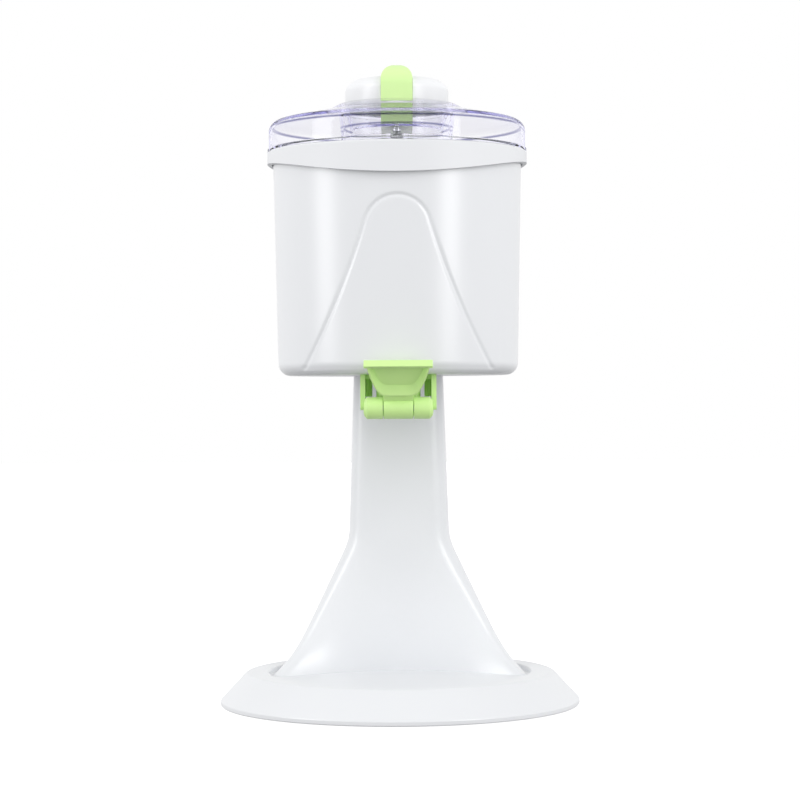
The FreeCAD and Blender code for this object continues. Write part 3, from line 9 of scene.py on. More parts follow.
import bpy
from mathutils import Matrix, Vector


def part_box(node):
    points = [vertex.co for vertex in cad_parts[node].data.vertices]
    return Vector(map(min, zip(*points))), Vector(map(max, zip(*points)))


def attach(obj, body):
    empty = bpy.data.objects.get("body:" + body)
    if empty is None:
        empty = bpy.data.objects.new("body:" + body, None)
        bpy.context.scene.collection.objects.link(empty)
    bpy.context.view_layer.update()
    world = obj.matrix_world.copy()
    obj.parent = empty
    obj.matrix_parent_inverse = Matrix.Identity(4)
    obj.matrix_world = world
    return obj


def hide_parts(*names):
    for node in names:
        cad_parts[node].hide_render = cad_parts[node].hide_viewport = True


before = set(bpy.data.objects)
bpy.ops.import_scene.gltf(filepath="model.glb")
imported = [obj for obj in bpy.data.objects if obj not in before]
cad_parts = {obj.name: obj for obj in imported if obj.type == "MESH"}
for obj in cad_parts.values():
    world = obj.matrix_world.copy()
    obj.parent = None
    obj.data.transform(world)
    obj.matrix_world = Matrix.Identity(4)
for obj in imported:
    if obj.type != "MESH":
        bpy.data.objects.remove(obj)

log = logging.getLogger("ice_cream_maker")

Colour = Tuple[float, float, float]
Point = Tuple[float, float]
Number = Union[float, "Link"]

MM = 0.001
MERGE_DISTANCE = 0.01 * MM
EDGE_STEPS = 3


class Body(Enum):
    """Moving groups of the machine, named as in the frame."""

    STAND = "stand"
    LEVER = "lever"


class Link:
    """Output of a shader node; arithmetic on it adds Math nodes to its graph."""

    def __init__(self, graph: "Graph", socket: bpy.types.NodeSocket) -> None:
        """Wraps one output socket of a graph."""
        self.graph = graph
        self.socket = socket

    def _math(self, operation: str, first: Number, second: Number) -> "Link":
        """Adds one Math node.

        Args:
            operation: Name of the Math node's operation.
            first: Left value or link.
            second: Right value or link.

        Returns:
            The node's result.
        """
        return self.graph.add("ShaderNodeMath", {"operation": operation}, {0: first, 1: second})

    def __add__(self, other: Number) -> "Link":
        """Sum."""
        return self._math("ADD", self, other)

    __radd__ = __add__

    def __sub__(self, other: Number) -> "Link":
        """Difference."""
        return self._math("SUBTRACT", self, other)

    def __rsub__(self, other: Number) -> "Link":
        """Difference, the other way round."""
        return self._math("SUBTRACT", other, self)

    def __mul__(self, other: Number) -> "Link":
        """Product."""
        return self._math("MULTIPLY", self, other)

    __rmul__ = __mul__

    def __truediv__(self, other: Number) -> "Link":
        """Quotient."""
        return self._math("DIVIDE", self, other)


class Graph:
    """Node tree of one material or of the surroundings."""

    def __init__(self, owner: Union[bpy.types.Material, bpy.types.World]) -> None:
        """Empties the owner's tree."""
        self.owner = owner
        owner.use_nodes = True
        self.tree = owner.node_tree
        self.tree.nodes.clear()

    @classmethod
    def material(cls, name: str) -> "Graph":
        """Tree of a new material."""
        return cls(bpy.data.materials.new(name))

    def add(self, kind: str, settings: Optional[Dict[str, Any]] = None,
            sockets: Optional[Dict[Union[int, str], Any]] = None,
            output: Union[int, str] = 0) -> Link:
        """Adds a node, sets it and joins its inputs.

        Args:
            kind: Blender's type name of the node.
            settings: Properties that are set first; "stops" fills a colour ramp.
            sockets: Values or links for the inputs, by name or number.
            output: Name or number of the output that is handed back.

        Returns:
            A link to that output.
        """
        node = self.tree.nodes.new(kind)
        for key, value in (settings or {}).items():
            if key == "stops":
                self._fill_ramp(node.color_ramp, value)
            else:
                setattr(node, key, value)
        for key, value in (sockets or {}).items():
            if isinstance(value, Link):
                self.tree.links.new(value.socket, node.inputs[key])
            else:
                node.inputs[key].default_value = value
        return Link(self, node.outputs[output])

    @staticmethod
    def _fill_ramp(ramp: bpy.types.ColorRamp, stops: Sequence[Tuple[float, Colour]]) -> None:
        """Sets a ramp's stops from (place, colour) pairs."""
        while len(ramp.elements) < len(stops):
            ramp.elements.new(1.0)
        for element, (place, colour) in zip(ramp.elements, stops):
            element.position = place
            element.color = (*colour, 1.0)

    def place(self) -> Link:
        """Object coordinates, in metres."""
        return self.add("ShaderNodeTexCoord", output="Object")

    def noise(self, place: Link, size: float, detail: float = 2.0) -> Link:
        """Cloudy noise.

        Args:
            place: Coordinates.
            size: Width of one cloud in metres.
            detail: Octaves of finer noise.

        Returns:
            A value about 0.5.
        """
        return self.add("ShaderNodeTexNoise", {},
                        {"Vector": place, "Scale": 1.0 / size, "Detail": detail}, "Fac")

    def blend(self, share: Number, low: Colour, high: Colour) -> Link:
        """Colour between two others by a share."""
        return self.add("ShaderNodeMix", {"data_type": "RGBA", "clamp_factor": True},
                        {0: share, 6: (*low, 1.0), 7: (*high, 1.0)}, 2)

    def bump(self, height: Link, depth: float) -> Link:
        """Surface relief of a depth in metres."""
        return self.add("ShaderNodeBump", {}, {"Strength": 1.0, "Distance": depth, "Height": height})

    def finish(self, sockets: Dict[str, Any], volume: Optional[Link] = None) -> bpy.types.Material:
        """Adds the surface shader and the output.

        Args:
            sockets: Inputs of the Principled shader.
            volume: Shader of the inside, if any.

        Returns:
            The finished material.
        """
        surface = self.add("ShaderNodeBsdfPrincipled", {}, sockets, "BSDF")
        ends = {"Surface": surface}
        if volume is not None:
            ends["Volume"] = volume
        out = self.tree.nodes.new("ShaderNodeOutputMaterial")
        for key, link in ends.items():
            self.tree.links.new(link.socket, out.inputs[key])
        return self.owner


def scaled(colour: Colour, factor: float) -> Colour:
    """A colour made darker or lighter."""
    return tuple(min(1.0, part * factor) for part in colour)


@dataclass(frozen=True)
class MouldedPlastic:
    """Injection-moulded plastic: faint flow clouds, fine skin and uneven gloss."""

    name: str
    colour: Colour
    roughness: float = 0.22
    uneven: float = 0.06
    skin_size: float = 0.7 * MM
    skin_depth: float = 0.004 * MM
    cloud_size: float = 30.0 * MM
    clouds: float = 0.03
    glow: float = 0.0
    glow_depth: float = 2.0 * MM
    index: float = 1.5

    def material(self) -> bpy.types.Material:
        """Builds the material."""
        graph = Graph.material(self.name)
        place = graph.place()
        cloud = graph.noise(place, self.cloud_size, 3.0)
        skin = graph.noise(place, self.skin_size, 2.0)
        shade = graph.blend(cloud, scaled(self.colour, 1.0 - self.clouds),
                            scaled(self.colour, 1.0 + self.clouds))
        gloss = self.roughness + (cloud - 0.5) * self.uneven + (skin - 0.5) * (self.uneven * 0.5)
        return graph.finish({
            "Base Color": shade,
            "Roughness": gloss,
            "Normal": graph.bump(skin, self.skin_depth),
            "IOR": self.index,
            "Subsurface Weight": self.glow,
            "Subsurface Radius": (1.0, 1.0, 1.0),
            "Subsurface Scale": self.glow_depth,
        })


@dataclass(frozen=True)
class ClearPlastic:
    """Clear polished plastic, a little violet in its depth, with a painted shade line: a dark ring
    painted into its colour at one height, where its edge looks dark.
    """

    name: str
    painted_line_height: float
    painted_line_half: float = 0.8 * MM
    # Colour of the painted shade line along the edge.
    edge: Colour = (0.24, 0.24, 0.42)
    cast: Colour = (0.62, 0.60, 0.92)
    density: float = 18.0
    roughness: float = 0.02
    index: float = 1.02
    sheen: float = 0.35
    sheen_roughness: float = 0.03
    ripple_size: float = 14.0 * MM
    ripple_depth: float = 0.02 * MM
    smear_size: float = 4.0 * MM

    def material(self) -> bpy.types.Material:
        """Builds the material."""
        graph = Graph.material(self.name)
        place = graph.place()
        ripple = graph.noise(place, self.ripple_size, 2.0)
        smear = graph.noise(place, self.smear_size, 3.0)
        height = graph.add("ShaderNodeSeparateXYZ", {}, {0: place}, "Z")
        # Painted shade: the colour turns from white to the dark edge colour near one height, standing in
        # for the dark line that clear plastic shows at its edge.
        off = (height - self.painted_line_height) / self.painted_line_half
        depth = graph.add("ShaderNodeVolumeAbsorption", {},
                          {"Color": (*self.cast, 1.0), "Density": self.density})
        return graph.finish({
            "Base Color": graph.blend(1.0 - off * off, (1.0, 1.0, 1.0), self.edge),
            "Roughness": self.roughness * 0.5 + smear * self.roughness,
            "Normal": graph.bump(ripple, self.ripple_depth),
            "IOR": self.index,
            "Transmission Weight": 1.0,
            "Coat Weight": self.sheen,
            "Coat Roughness": self.sheen_roughness,
        }, depth)


@dataclass(frozen=True)
class TurnedMetal:
    """Metal with fine tool rings about an upright axis and uneven polish."""

    name: str
    colour: Colour
    roughness: float = 0.3
    ring_pitch: float = 0.35 * MM
    ring_depth: float = 0.006 * MM
    ring_gloss: float = 0.1
    cloud_size: float = 9.0 * MM
    cloud_gloss: float = 0.16
    middle: Point = (0.0, 0.0)

    def material(self) -> bpy.types.Material:
        """Builds the material."""
        graph = Graph.material(self.name)
        place = graph.add("ShaderNodeMapping", {},
                          {"Vector": graph.place(), "Location": (-self.middle[0], -self.middle[1], 0.0)})
        flat = graph.add("ShaderNodeVectorMath", {"operation": "MULTIPLY"},
                         {0: place, 1: (1.0, 1.0, 0.0)})
        radius = graph.add("ShaderNodeVectorMath", {"operation": "LENGTH"}, {0: flat}, "Value")
        height = graph.add("ShaderNodeSeparateXYZ", {}, {0: place}, "Z")
        run = (radius + height) / self.ring_pitch
        rings = graph.add("ShaderNodeTexNoise", {"noise_dimensions": "1D"},
                          {"W": run, "Scale": 1.0, "Detail": 2.0}, "Fac")
        cloud = graph.noise(place, self.cloud_size, 3.0)
        shade = graph.blend(cloud, scaled(self.colour, 0.9), scaled(self.colour, 1.06))
        return graph.finish({
            "Base Color": shade,
            "Roughness": (self.roughness + (cloud - 0.5) * self.cloud_gloss
                          + (rings - 0.5) * self.ring_gloss),
            "Normal": graph.bump(rings, self.ring_depth),
            "Metallic": 1.0,
        })


@dataclass(frozen=True)
class SoftRubber:
    """Matt rubber with a fine blasted skin and a little dust."""

    name: str
    colour: Colour
    roughness: float = 0.62
    uneven: float = 0.2
    skin_size: float = 0.35 * MM
    skin_depth: float = 0.03 * MM
    dust_size: float = 5.0 * MM

    def material(self) -> bpy.types.Material:
        """Builds the material."""
        graph = Graph.material(self.name)
        place = graph.place()
        skin = graph.noise(place, self.skin_size, 3.0)
        dust = graph.noise(place, self.dust_size, 4.0)
        shade = graph.blend(dust, scaled(self.colour, 0.85), scaled(self.colour, 1.5))
        return graph.finish({
            "Base Color": shade,
            "Roughness": self.roughness + (dust - 0.5) * self.uneven,
            "Normal": graph.bump(skin, self.skin_depth),
            "IOR": 1.5,
        })


@dataclass(frozen=True)
class FrozenGel:
    """Cloudy blue coolant, with pale crystals."""

    name: str
    colour: Colour
    roughness: float = 0.25
    uneven: float = 0.3
    crystal_size: float = 3.0 * MM
    crystal_depth: float = 0.05 * MM
    glow: float = 0.4
    glow_depth: float = 6.0 * MM

    def material(self) -> bpy.types.Material:
        """Builds the material."""
        graph = Graph.material(self.name)
        place = graph.place()
        crystals = graph.add("ShaderNodeTexVoronoi", {},
                             {"Vector": place, "Scale": 1.0 / self.crystal_size}, "Distance")
        shade = graph.blend(crystals, scaled(self.colour, 1.4), self.colour)
        return graph.finish({
            "Base Color": shade,
            "Roughness": self.roughness + crystals * self.uneven,
            "Normal": graph.bump(crystals, self.crystal_depth),
            "Subsurface Weight": self.glow,
            "Subsurface Radius": (0.4, 0.7, 1.0),
            "Subsurface Scale": self.glow_depth,
        })


WHITE = MouldedPlastic("white_gloss", (0.778, 0.79, 0.813), 0.3, 0.03, clouds=0.008, index=1.7)
COLLAR = MouldedPlastic("collar_white", (0.79, 0.8, 0.823), 0.5, 0.03, clouds=0.008)
# Painted light: a lighter copy of the body white for the cap, standing in for the stronger light on top
# of the machine.
LIT_CAP_WHITE = MouldedPlastic("cap_white_painted_light", (0.865, 0.873, 0.89), 0.3, 0.03, clouds=0.008)
GREEN = MouldedPlastic("lime_satin", (0.63, 0.91, 0.34), 0.34, clouds=0.015, glow=0.08)
# Painted light: a lighter copy of the lever green for the grip, standing in for the stronger light on top
# of the machine.
LIT_GRIP_GREEN = MouldedPlastic("lime_grip_painted_light", (0.69, 0.95, 0.41), 0.34, clouds=0.015, glow=0.08)
GREY = MouldedPlastic("grey_matt", (0.48, 0.49, 0.51), 0.5, 0.1, 0.5 * MM, 0.02 * MM)
BLACK = MouldedPlastic("black_satin", (0.018, 0.018, 0.02), 0.38, 0.1, 0.5 * MM, 0.012 * MM)
CREAM = MouldedPlastic("dasher_cream", (0.72, 0.73, 0.70), 0.34, glow=0.1)
NYLON = MouldedPlastic("gear_nylon", (0.66, 0.64, 0.56), 0.45, glow=0.2)
# Heights of the painted shade lines on the lid and on the cup.
CLEAR = ClearPlastic("clear_lid", 377.9 * MM)
CUP = ClearPlastic("clear_cup", 375.1 * MM)
STEEL = TurnedMetal("zinc_steel", (0.62, 0.63, 0.65), 0.3)
MOTOR = TurnedMetal("motor_zinc", (0.52, 0.54, 0.56), 0.38, middle=(0.0, 46.0 * MM))
BRASS = TurnedMetal("brass", (0.72, 0.53, 0.25), 0.28)
ALUMINIUM = TurnedMetal("spun_aluminium", (0.76, 0.77, 0.79), 0.34, 0.6 * MM)
RUBBER = SoftRubber("black_rubber", (0.02, 0.02, 0.022))
SEAL = SoftRubber("grey_seal", (0.32, 0.33, 0.35))
GEL = FrozenGel("blue_gel", (0.16, 0.38, 0.62))

NODE_FINISHES = {
    WHITE: ("base_shell", "column_front", "column_rear", "bucket_shell", "valve_gate"),
    COLLAR: ("collar_ring",),
    LIT_CAP_WHITE: ("cap_dome",),
    LIT_GRIP_GREEN: ("cap_handle",),
    GREEN: ("outlet_block", "pull_lever", "star_nozzle", "scraper_blades"),
    CLEAR: ("clear_lid",),
    CUP: ("feed_cup",),
    GREY: ("base_plate", "drive_deck", "bowl_jacket"),
    BLACK: ("switch_bezel", "switch_rocker"),
    CREAM: ("dasher", "auger_flight"),
    NYLON: ("compound_gear", "spindle_gear"),
    STEEL: ("base_screws", "column_screws", "foot_screws", "motor_plate", "motor_screws", "plate_screws",
            "motor_shaft", "gear_axle", "drive_spindle", "deck_screws", "cap_screws", "outlet_screws",
            "gate_pin", "hinge_pin"),
    MOTOR: ("motor_can",),
    BRASS: ("motor_pinion", "spindle_bush"),
    ALUMINIUM: ("bowl_liner",),
    RUBBER: ("rubber_feet", "cord_gland", "lead_sleeve"),
    SEAL: ("shaft_seal", "port_seal", "lid_seal"),
    GEL: ("coolant_gel",),
}


class Paint:
    """Hands out each finish's material, made once."""

    def __init__(self) -> None:
        """Starts with no material made."""
        self.made: Dict[Any, bpy.types.Material] = {}

    def of(self, finish: Any) -> bpy.types.Material:
        """The material of a finish."""
        if finish not in self.made:
            self.made[finish] = finish.material()
        return self.made[finish]

    def coat(self, piece: bpy.types.Object, finish: Any) -> None:
        """Gives a piece one finish all over."""
        piece.data.materials.clear()
        piece.data.materials.append(self.of(finish))


class Bench:
    """Modelling by hand: thin wraps round the operators."""

    @staticmethod
    def clear() -> None:
        """Leaves edit mode and deselects everything."""
        if bpy.context.object is not None and bpy.context.object.mode != "OBJECT":
            bpy.ops.object.mode_set(mode="OBJECT")
        bpy.ops.object.select_all(action="DESELECT")

    @staticmethod
    def wire(name: str, path: Sequence[Tuple[float, float, float]]) -> bpy.types.Object:
        """Draws a chain of edges and stays in edit mode with all of it selected.

        Args:
            name: Name of the new piece.
            path: Points in order.

        Returns:
            The piece.
        """
        Bench.clear()
        bpy.ops.mesh.primitive_plane_add(size=MM)
        piece = bpy.context.object
        piece.name = name
        piece.data.name = name
        bpy.ops.object.mode_set(mode="EDIT")
        bpy.ops.mesh.select_mode(type="VERT")
        bpy.ops.mesh.select_all(action="SELECT")
        bpy.ops.mesh.merge(type="CENTER")
        bpy.ops.transform.translate(value=path[0])
        for before, after in zip(path, path[1:]):
            step = tuple(b - a for a, b in zip(before, after))
            bpy.ops.mesh.extrude_vertices_move(TRANSFORM_OT_translate={"value": step})
        bpy.ops.mesh.select_all(action="SELECT")
        return piece

    @staticmethod
    def turn(name: str, section: Sequence[Point], spins: Sequence[Tuple[float, int]]) -> bpy.types.Object:
        """Turns a half section about the upright axis, starting from the back.

        Args:
            name: Name of the new piece.
            section: (radius, height) points from the axis round to the axis.
            spins: (angle, steps) of each stretch, which add up to a full turn.

        Returns:
            The turned piece, in object mode.
        """
        piece = Bench.wire(name, [(0.0, radius, height) for radius, height in section])
        for angle, steps in spins:
            bpy.ops.mesh.spin(steps=steps, angle=angle, center=(0.0, 0.0, 0.0), axis=(0.0, 0.0, 1.0))
        bpy.ops.mesh.select_all(action="SELECT")
        bpy.ops.mesh.remove_doubles(threshold=MERGE_DISTANCE)
        bpy.ops.mesh.normals_make_consistent(inside=False)
        bpy.ops.object.mode_set(mode="OBJECT")
        return piece

    @staticmethod
    def arc(centre: Point, radius: float, start: float, end: float, steps: int) -> List[Point]:
        """Points along an arc.

        Args:
            centre: Middle of the arc.
            radius: Radius in metres.
            start: First angle in degrees.
            end: Last angle in degrees.
            steps: Number of spaces between the points.

        Returns:
            The points, both ends among them.
        """
        angles = [math.radians(start + (end - start) * i / steps) for i in range(steps + 1)]
        return [(centre[0] + radius * math.cos(a), centre[1] + radius * math.sin(a)) for a in angles]

    @staticmethod
    def slab(name: str, low: Tuple[float, float, float], high: Tuple[float, float, float],
             round_by: float) -> bpy.types.Object:
        """Block with rounded edges.

        Args:
            name: Name of the new piece.
            low: Lowest corner.
            high: Highest corner.
            round_by: Radius of the edges.

        Returns:
            The block, in object mode.
        """
        Bench.clear()
        bpy.ops.mesh.primitive_cube_add(size=1.0)
        piece = bpy.context.object
        piece.name = name
        piece.data.name = name
        bpy.ops.object.mode_set(mode="EDIT")
        bpy.ops.mesh.select_all(action="SELECT")
        bpy.ops.transform.resize(value=tuple(b - a for a, b in zip(low, high)))
        bpy.ops.transform.translate(value=tuple((a + b) / 2.0 for a, b in zip(low, high)))
        bpy.ops.mesh.bevel(offset=round_by, segments=EDGE_STEPS, affect="EDGES")
        bpy.ops.object.mode_set(mode="OBJECT")
        return piece

    @staticmethod
    def lean(piece: bpy.types.Object, degrees: float) -> None:
        """Leans a piece forward about the sideways axis through the origin."""
        Bench.clear()
        bpy.context.view_layer.objects.active = piece
        piece.select_set(True)
        bpy.ops.object.mode_set(mode="EDIT")
        bpy.ops.mesh.select_all(action="SELECT")
        bpy.ops.transform.rotate(value=-math.radians(degrees), orient_axis="X", orient_type="GLOBAL",
                                 center_override=(0.0, 0.0, 0.0))
        bpy.ops.object.mode_set(mode="OBJECT")

    @staticmethod
    def join(name: str, pieces: Sequence[bpy.types.Object], place: Vector) -> bpy.types.Object:
        """Joins pieces to one and moves its mesh to its place.

        Args:
            name: Name of the joined piece.
            pieces: What is joined.
            place: Where the pieces' origin goes.

        Returns:
            The joined piece, in object mode.
        """
        Bench.clear()
        for piece in pieces:
            piece.select_set(True)
        bpy.context.view_layer.objects.active = pieces[0]
        bpy.ops.object.join()
        joined = bpy.context.object
        joined.name = name
        joined.data.name = name
        bpy.ops.object.mode_set(mode="EDIT")
        bpy.ops.mesh.select_all(action="SELECT")
        bpy.ops.mesh.normals_make_consistent(inside=False)
        bpy.ops.transform.translate(value=place)
        bpy.ops.object.mode_set(mode="OBJECT")
        return joined

    @staticmethod
    def smooth(piece: bpy.types.Object, angle: float = 35.0) -> None:
        """Shades a piece smooth up to an edge angle in degrees."""
        Bench.clear()
        piece.select_set(True)
        bpy.context.view_layer.objects.active = piece
        bpy.ops.object.shade_smooth_by_angle(angle=math.radians(angle))


def smooth_step(value: float, low: float, high: float) -> float:
    """Soft step from 0 at low to 1 at high."""
    share = min(1.0, max(0.0, (value - low) / (high - low)))
    return share * share * (3.0 - 2.0 * share)


@dataclass
class Bucket:
    """Round housing with a bell-shaped panel sunk softly into its front."""

    foot_radius: float = 78.5 * MM
    corner: float = 8.0 * MM
    wall: float = 2.5 * MM
    panel_half_width: float = 62.0 * MM
    panel_top: float = 328.0 * MM
    panel_round: float = 21.0 * MM
    panel_lean: float = 17.0
    panel_depth: float = 0.3 * MM
    panel_edge: float = 2.6 * MM
    groove: float = 0.6 * MM
    groove_half: float = 1.25 * MM
    panel_fade: float = 4.0 * MM
    row_height: float = 0.56 * MM
    front_angle: float = 110.0
    front_steps: int = 268
    flank_steps: int = 28
    smooth_angle: float = 62.0

    def __post_init__(self) -> None:
        """Reads the bucket's place from the frame."""
        low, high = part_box("bucket_shell")
        self.floor = low.z
        self.top = high.z
        self.top_radius = high.x

    def section(self) -> List[Point]:
        """Half section of the housing, from the axis under the floor to the axis on it."""
        lean = math.degrees(math.atan2(self.top_radius - self.foot_radius, self.top - self.floor))
        outer_middle = (self.foot_radius - self.corner, self.floor + self.corner)
        outer = Bench.arc(outer_middle, self.corner, -90.0, -lean, 12)
        rows = int((self.top - outer[-1][1]) / self.row_height)
        start = outer[-1]
        side = [(start[0] + (self.top_radius - start[0]) * i / rows,
                 start[1] + (self.top - start[1]) * i / rows) for i in range(1, rows + 1)]
        inner_middle = (self.foot_radius - self.corner, self.floor + self.corner)
        inner = Bench.arc(inner_middle, self.corner - self.wall, -lean, -90.0, 6)
        rim = [(self.top_radius - self.wall, self.top)]
        return ([(0.0, self.floor)] + outer + side + rim + inner + [(0.0, self.floor + self.wall)])

    def inside_panel(self, x: float, z: float) -> float:
        """Distance from the bell's edge, above 0 inside it.

        Args:
            x: Distance from the middle.
            z: Height.

        Returns:
            The distance in metres.
        """
        lean = math.radians(self.panel_lean)
        normal = Vector((math.cos(lean), math.sin(lean)))
        along = Vector((-math.sin(lean), math.cos(lean)))
        crown = Vector((0.0, self.panel_top - self.panel_round))
        join = crown + normal * self.panel_round
        reach = Vector((self.panel_half_width, self.floor)) - join
        sweep = reach.dot(reach) / (2.0 * reach.dot(normal))
        point = Vector((abs(x), z))
        if (point - crown).dot(along) > 0.0:
            return self.panel_round - (point - crown).length
        return (point - join - normal * sweep).length - sweep

    def build(self, paint: Paint) -> bpy.types.Object:
        """Turns the housing, sinks the panel and finishes it.

        Args:
            paint: Materials.

        Returns:
            The bucket's piece.
        """
        front = math.radians(self.front_angle)
        flank = (math.pi - front / 2.0, self.flank_steps)
        piece = Bench.turn("bucket_housing", self.section(), [flank, (front, self.front_steps), flank])
        self.sink_panel(piece)
        Bench.smooth(piece, self.smooth_angle)
        paint.coat(piece, WHITE)
        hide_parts("bucket_shell")
        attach(piece, Body.STAND.value)
        return piece

    def sink_panel(self, piece: bpy.types.Object) -> None:
        """Moves the outer wall in where the panel lies."""
        skin = self.wall * 0.5
        for vertex in piece.data.vertices:
            place = vertex.co
            radius = math.hypot(place.x, place.y)
            share = (place.z - self.floor) / (self.top - self.floor)
            outside = self.foot_radius + (self.top_radius - self.foot_radius) * share
            on_wall = radius > outside - skin or place.z < self.floor + self.wall * 0.9
            if place.y > 0.0 or not on_wall or radius < self.foot_radius * 0.5:
                continue
            inside = self.inside_panel(place.x, place.z)
            depth = self.panel_depth * smooth_step(inside, -self.panel_edge * 0.5, self.panel_edge * 0.5)
            depth += self.groove * math.exp(-(inside / self.groove_half) ** 2)
            depth *= smooth_step(place.z, self.floor, self.floor + self.panel_fade)
            inward = Vector((-place.x, -place.y, 0.0)).normalized()
            vertex.co = place + inward * depth


@dataclass
class PullLever:
    """Green scoop lever: a dished plate under a straight lip, on a barrel that turns on the hinge pin."""

    lean: float = 41.5
    side: Tuple[Point, ...] = ((19.8, 35.8), (19.0, 32.1), (18.1, 28.5), (17.1, 24.9), (15.9, 21.3),
                               (14.6, 18.1), (13.2, 15.3), (11.6, 13.1), (9.6, 11.8), (7.2, 11.4))
    rim: float = 1.1 * MM
    front: float = -2.0 * MM
    back: float = 4.0 * MM
    dish: float = 4.2 * MM
    dish_share: Tuple[float, float, float] = (0.9, 1.0, 0.78)
    back_share: Tuple[float, float, float] = (0.86, 1.0, 0.93)
    dish_top: float = 34.7 * MM
    lip_half: float = 21.4 * MM
    lip: Point = (34.3 * MM, 36.4 * MM)
    barrel_half: float = 9.4 * MM
    barrel_radius: float = 6.9 * MM
    bore: float = 2.06 * MM
    barrel_round: float = 0.5 * MM
    neck: Tuple[float, float, float] = (-1.2 * MM, 4.0 * MM, 12.6 * MM)
    arm_half: Point = (4.0 * MM, 2.6 * MM)
    arm_length: float = 18.6 * MM
    arm_lean: float = -36.4
    edge: float = 0.45 * MM
    edge_angle: float = 32.0
    half_turn_steps: int = 32

    def __post_init__(self) -> None:
        """Reads the hinge's place from the frame."""
        low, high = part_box("hinge_pin")
        self.hinge = (low + high) / 2.0

    def scoop(self) -> bpy.types.Object:
        """Plate with the dish sunk into its front, standing straight up."""
        right = [(x * MM, self.front, z * MM) for x, z in self.side]
        left = [(-x, y, z) for x, y, z in reversed(right)]
        piece = Bench.wire("scoop", right + left)
        bpy.ops.mesh.edge_face_add()
        bpy.ops.mesh.extrude_region_move(
            TRANSFORM_OT_translate={"value": (0.0, self.back - self.front, 0.0)})
        bpy.ops.transform.resize(value=self.back_share, center_override=(0.0, self.back, self.dish_top))
        bpy.ops.mesh.select_all(action="SELECT")
        bpy.ops.mesh.normals_make_consistent(inside=False)
        self.pick(piece, self.front)
        bpy.ops.mesh.inset(thickness=self.rim)
        bpy.ops.mesh.extrude_region_move(TRANSFORM_OT_translate={"value": (0.0, self.dish, 0.0)})
        bpy.ops.transform.resize(value=self.dish_share,
                                 center_override=(0.0, self.front + self.dish, self.dish_top))
        bpy.ops.object.mode_set(mode="OBJECT")
        return piece

    @staticmethod
    def pick(piece: bpy.types.Object, depth: float) -> None:
        """Selects the faces that look forward at one depth, in edit mode."""
        bpy.ops.object.mode_set(mode="OBJECT")
        mesh = piece.data
        for group in (mesh.vertices, mesh.edges, mesh.polygons):
            for part in group:
                part.select = False
        for face in mesh.polygons:
            face.select = face.normal.y < -0.9 and abs(face.center.y - depth) < 0.1 * MM
        bpy.ops.object.mode_set(mode="EDIT")
        bpy.ops.mesh.select_mode(type="FACE")

    def barrel(self) -> bpy.types.Object:
        """Tube round the hinge pin."""
        half, outer, soft = self.barrel_half, self.barrel_radius, self.barrel_round
        section = [(-half, self.bore), (-half, outer - soft), (-half + soft, outer),
                   (half - soft, outer), (half, outer - soft), (half, self.bore), (-half, self.bore)]
        piece = Bench.wire("barrel", [(x, 0.0, r) for x, r in section])
        for _ in range(2):
            bpy.ops.mesh.spin(steps=self.half_turn_steps, angle=math.pi,
                              center=(0.0, 0.0, 0.0), axis=(1.0, 0.0, 0.0))
        bpy.ops.mesh.select_all(action="SELECT")
        bpy.ops.mesh.remove_doubles(threshold=MERGE_DISTANCE)
        bpy.ops.mesh.normals_make_consistent(inside=False)
        bpy.ops.object.mode_set(mode="OBJECT")
        return piece

    def build(self, paint: Paint) -> bpy.types.Object:
        """Models the lever and finishes it.

        Args:
            paint: Materials.

        Returns:
            The lever's piece.
        """
        scoop = self.scoop()
        lip = Bench.slab("lip", (-self.lip_half, self.front, self.lip[0]),
                         (self.lip_half, self.back, self.lip[1]), self.edge)
        neck = Bench.slab("neck", (-self.barrel_half, self.neck[0], self.bore + self.edge),
                          (self.barrel_half, self.neck[1], self.neck[2]), self.edge)
        for part in (scoop, lip, neck):
            Bench.lean(part, self.lean)
        arm = Bench.slab("arm", (-self.arm_half[0], -self.arm_half[1], self.bore + self.edge),
                         (self.arm_half[0], self.arm_half[1], self.arm_length), self.edge)
        Bench.lean(arm, self.arm_lean)
        piece = Bench.join("lever_scoop", [scoop, lip, neck, self.barrel(), arm], self.hinge)
        bevel = piece.modifiers.new("rounded_edges", "BEVEL")
        bevel.width = self.edge
        bevel.segments = EDGE_STEPS
        bevel.limit_method = "ANGLE"
        bevel.angle_limit = math.radians(self.edge_angle)
        bpy.ops.object.modifier_apply(modifier=bevel.name)
        Bench.smooth(piece)
        paint.coat(piece, GREEN)
        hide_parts("pull_lever")
        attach(piece, Body.LEVER.value)
        return piece


@dataclass
class Solids:
    """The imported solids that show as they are, with soft edges and their finishes."""

    edge: float = 0.35 * MM
    edge_angle: float = 34.0
    weld: float = 0.005 * MM
    soft_nodes: Tuple[str, ...] = ("outlet_block", "cap_handle", "cap_dome",
                                   "switch_bezel", "switch_rocker", "cord_gland", "valve_gate",
                                   "star_nozzle")

    def soften(self, piece: bpy.types.Object) -> None:
        """Rounds a solid's sharp edges with live modifiers."""
        weld = piece.modifiers.new("joined", "WELD")
        weld.merge_threshold = self.weld
        bevel = piece.modifiers.new("rounded_edges", "BEVEL")
        bevel.width = self.edge
        bevel.segments = EDGE_STEPS
        bevel.limit_method = "ANGLE"
        bevel.angle_limit = math.radians(self.edge_angle)
        bevel.harden_normals = True

    def dress(self, paint: Paint) -> None:
        """Gives every solid its finish and the visible ones soft edges."""
        for finish, names in NODE_FINISHES.items():
            for name in names:
                paint.coat(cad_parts[name], finish)
        for name in self.soft_nodes:
            self.soften(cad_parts[name])
        log.info("dressed %d solids", len(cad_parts))


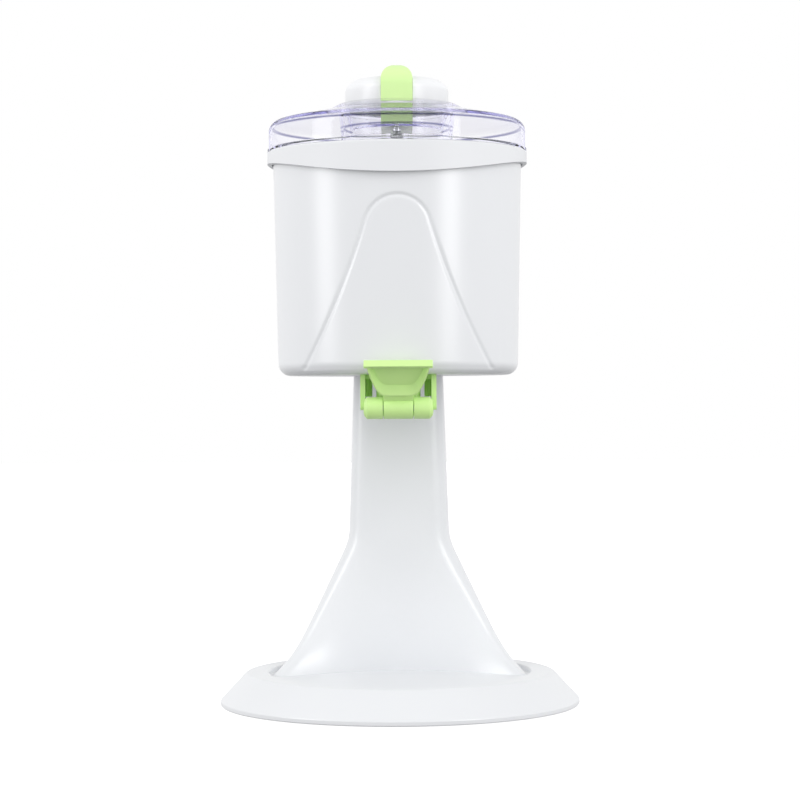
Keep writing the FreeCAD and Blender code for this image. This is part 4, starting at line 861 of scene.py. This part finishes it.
@dataclass
class Studio:
    """Pale floor, soft light and the camera at the picture's angle."""

    camera_place: Tuple[float, float, float] = (1.0 * MM, -1541.0 * MM, 199.8 * MM)
    image_side: float = 800.0
    focal_pixels: float = 2348.0
    sensor: float = 36.0
    floor_half: float = 6.0
    roll: float = 0.34
    bounces: int = 32
    below: float = 0.3
    below_reach: Point = (-0.45, -0.06)
    above: float = 0.72
    above_reach: Point = (0.35, 0.8)
    aim_height: float = 0.28
    strip_distance: float = 1.1

    def build(self) -> None:
        """Sets up the whole studio."""
        self.camera()
        self.floor()
        self.sky()
        self.softbox("left_strip", -68.0, 0.66, (0.4, 1.0), 4.6)
        self.softbox("right_strip", 48.0, 0.68, (0.34, 1.0), 4.8)
        scene = bpy.context.scene
        scene.cycles.max_bounces = self.bounces
        scene.cycles.transmission_bounces = self.bounces
        scene.view_settings.view_transform = "Standard"
        scene.view_settings.look = "None"

    def camera(self) -> None:
        """Level camera in front of the machine."""
        lens = bpy.data.cameras.new("camera")
        lens.sensor_width = self.sensor
        lens.lens = self.focal_pixels * self.sensor / self.image_side
        holder = bpy.data.objects.new("camera", lens)
        holder.location = self.camera_place
        holder.rotation_euler = (math.pi / 2.0, math.radians(self.roll), 0.0)
        bpy.context.scene.collection.objects.link(holder)
        bpy.context.scene.camera = holder

    def floor(self) -> None:
        """Wide pale floor."""
        Bench.clear()
        bpy.ops.mesh.primitive_plane_add(size=2.0 * self.floor_half)
        piece = bpy.context.object
        piece.name = "studio_floor"
        piece.visible_diffuse = False
        piece.visible_glossy = False
        piece.visible_transmission = False
        graph = Graph.material("studio_paper")
        piece.data.materials.append(graph.finish({
            "Base Color": (0.5, 0.5, 0.5, 1.0),
            "Roughness": 0.9,
            "Specular IOR Level": 0.0,
            "Emission Color": (1.0, 1.0, 1.0, 1.0),
            "Emission Strength": 1.0,
        }))

    def sky(self) -> None:
        """White room: dim from below, a little dimmer overhead."""
        world = bpy.data.worlds.new("white_room")
        bpy.context.scene.world = world
        graph = Graph(world)
        way = graph.add("ShaderNodeTexCoord", output="Generated")
        up = graph.add("ShaderNodeSeparateXYZ", {}, {0: way}, "Z")
        height = graph.add("ShaderNodeMapRange", {},
                           {"Value": up, "From Min": self.below_reach[0], "From Max": self.below_reach[1],
                            "To Min": self.below, "To Max": 1.0})
        crown = graph.add("ShaderNodeMapRange", {},
                          {"Value": up, "From Min": self.above_reach[0], "From Max": self.above_reach[1],
                           "To Min": 1.0, "To Max": self.above})
        light = graph.add("ShaderNodeBackground", {},
                          {"Color": (1.0, 1.0, 1.0, 1.0), "Strength": height * crown}, "Background")
        out = graph.tree.nodes.new("ShaderNodeOutputWorld")
        graph.tree.links.new(light.socket, out.inputs["Surface"])

    def softbox(self, name: str, azimuth: float, height: float, size: Point, power: float) -> None:
        """Adds one soft lamp aimed at the bucket.

        Args:
            name: Name of the lamp.
            azimuth: Degrees round from the front, to the right.
            height: Metres above the floor.
            size: Width and height of the sheet in metres.
            power: Watts.
        """
        lamp = bpy.data.lights.new(name, "AREA")
        lamp.shape = "RECTANGLE"
        lamp.size, lamp.size_y = size
        lamp.energy = power
        holder = bpy.data.objects.new(name, lamp)
        angle = math.radians(azimuth)
        holder.location = (self.strip_distance * math.sin(angle),
                           -self.strip_distance * math.cos(angle), height)
        aim = Vector((0.0, 0.0, self.aim_height)) - holder.location
        holder.rotation_euler = aim.to_track_quat("-Z", "Y").to_euler()
        bpy.context.scene.collection.objects.link(holder)


def main() -> None:
    """Builds the looks piece by piece."""
    logging.basicConfig(level=logging.INFO, format="%(name)s: %(message)s")
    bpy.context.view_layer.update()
    paint = Paint()
    Studio().build()
    Solids().dress(paint)
    for assembly in (Bucket(), PullLever()):
        log.info("made %s", assembly.build(paint).name)


if __name__ == "__main__":
    main()
